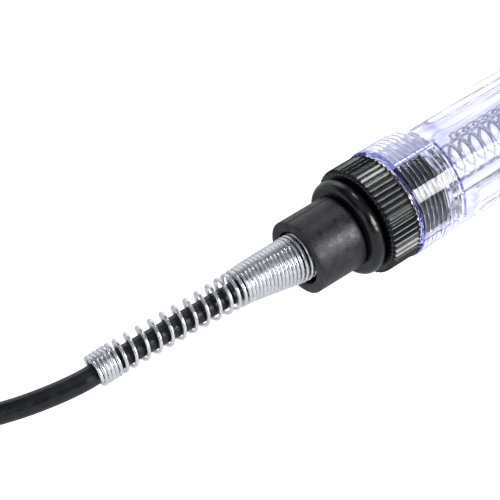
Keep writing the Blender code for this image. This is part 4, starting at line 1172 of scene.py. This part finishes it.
def make_world():
    """A studio pale at the horizon, dim above it and greyer overhead, and white through glass."""
    world = bpy.data.worlds.new("studio")
    bpy.context.scene.world = world
    world.use_nodes = True
    tree = world.node_tree
    place = tree.nodes.new("ShaderNodeTexCoord")
    parts = tree.nodes.new("ShaderNodeSeparateXYZ")
    ramp = tree.nodes.new("ShaderNodeValToRGB")
    tree.links.new(place.outputs["Generated"], parts.inputs["Vector"])
    tree.links.new(parts.outputs["Z"], ramp.inputs["Fac"])
    steps = [(0.0, (1.00, 1.01, 1.03)), (0.22, (0.62, 0.64, 0.70)), (0.45, (0.09, 0.10, 0.14)),
             (0.80, (0.08, 0.09, 0.12)), (1.0, (0.50, 0.52, 0.56))]
    while len(ramp.color_ramp.elements) < len(steps):
        ramp.color_ramp.elements.new(0.5)
    for mark, (at, colour) in zip(ramp.color_ramp.elements, steps):
        mark.position = at
        mark.color = (*colour, 1)
    through = tree.nodes.new("ShaderNodeMix")
    through.data_type = "RGBA"
    path = tree.nodes.new("ShaderNodeLightPath")
    tree.links.new(path.outputs["Is Transmission Ray"], through.inputs["Factor"])
    tree.links.new(ramp.outputs["Color"], through.inputs[6])
    through.inputs[7].default_value = (0.97, 0.97, 1.0, 1)
    tree.links.new(through.outputs[2], tree.nodes["Background"].inputs["Color"])


def make_lights():
    """Softboxes: (name, direction from the cap, size, power)."""
    aim = Vector((CAP_FACE - 0.01, 0, AXIS_Z))
    for name, direction, size, power in (
        ("key", (0.48, -0.71, 0.51), 0.36, 6.6),
        ("top", (0.48, 0.31, 0.82), 0.10, 0.9),
        ("back", (0.30, 0.80, 0.40), 0.45, 0.8),
        ("left", (-0.75, -0.30, 0.55), 0.30, 0.6),
    ):
        light = bpy.data.lights.new(name, "AREA")
        light.size = size
        light.energy = power
        lamp = linked(name, light)
        lamp.location = aim + Vector(direction).normalized() * 0.9
        lamp.rotation_euler = (aim - lamp.location).to_track_quat("-Z", "Y").to_euler()


def make_camera():
    """Looks down on the boot and the cap from the cord's side, 0.33 m away."""
    azimuth, elevation, distance = math.radians(-38.6), math.radians(48.4), 0.328
    aim = Vector((CAP_FACE - 0.03057, 0.008, AXIS_Z))
    back = Vector((math.sin(azimuth) * math.cos(elevation),
                   -math.cos(azimuth) * math.cos(elevation), math.sin(elevation)))
    data = bpy.data.cameras.new("camera")
    data.sensor_width = 36.0
    data.lens = 111.6
    data.clip_start = 0.01
    camera = linked("camera", data)
    camera.location = aim + distance * back
    camera.rotation_euler = (-back).to_track_quat("-Z", "Y").to_euler()
    scene = bpy.context.scene
    scene.camera = camera
    scene.view_settings.view_transform = "Standard"
    scene.cycles.max_bounces = 24
    scene.cycles.transmission_bounces = 24
    scene.cycles.glossy_bounces = 12


make_camera()
make_stage()
make_world()
make_lights()
make_handle()
make_thread_glare_sheet()
make_cap()
make_collar()
make_boot()
lead, lead_line = make_cord()
relief_spring = make_relief_spring()
make_contact_spring()

make_contacts()
make_bulb()
make_nose()
strap_flap = make_strap()
clip_pieces = make_clip()
clip_pieces.append(make_clip_spring())
for node in ("cord_conductor", "clip_conductor"):
    core = frame["nodes"][node]
    core.data.materials.clear()
    core.data.materials.append(MATERIAL["copper"])
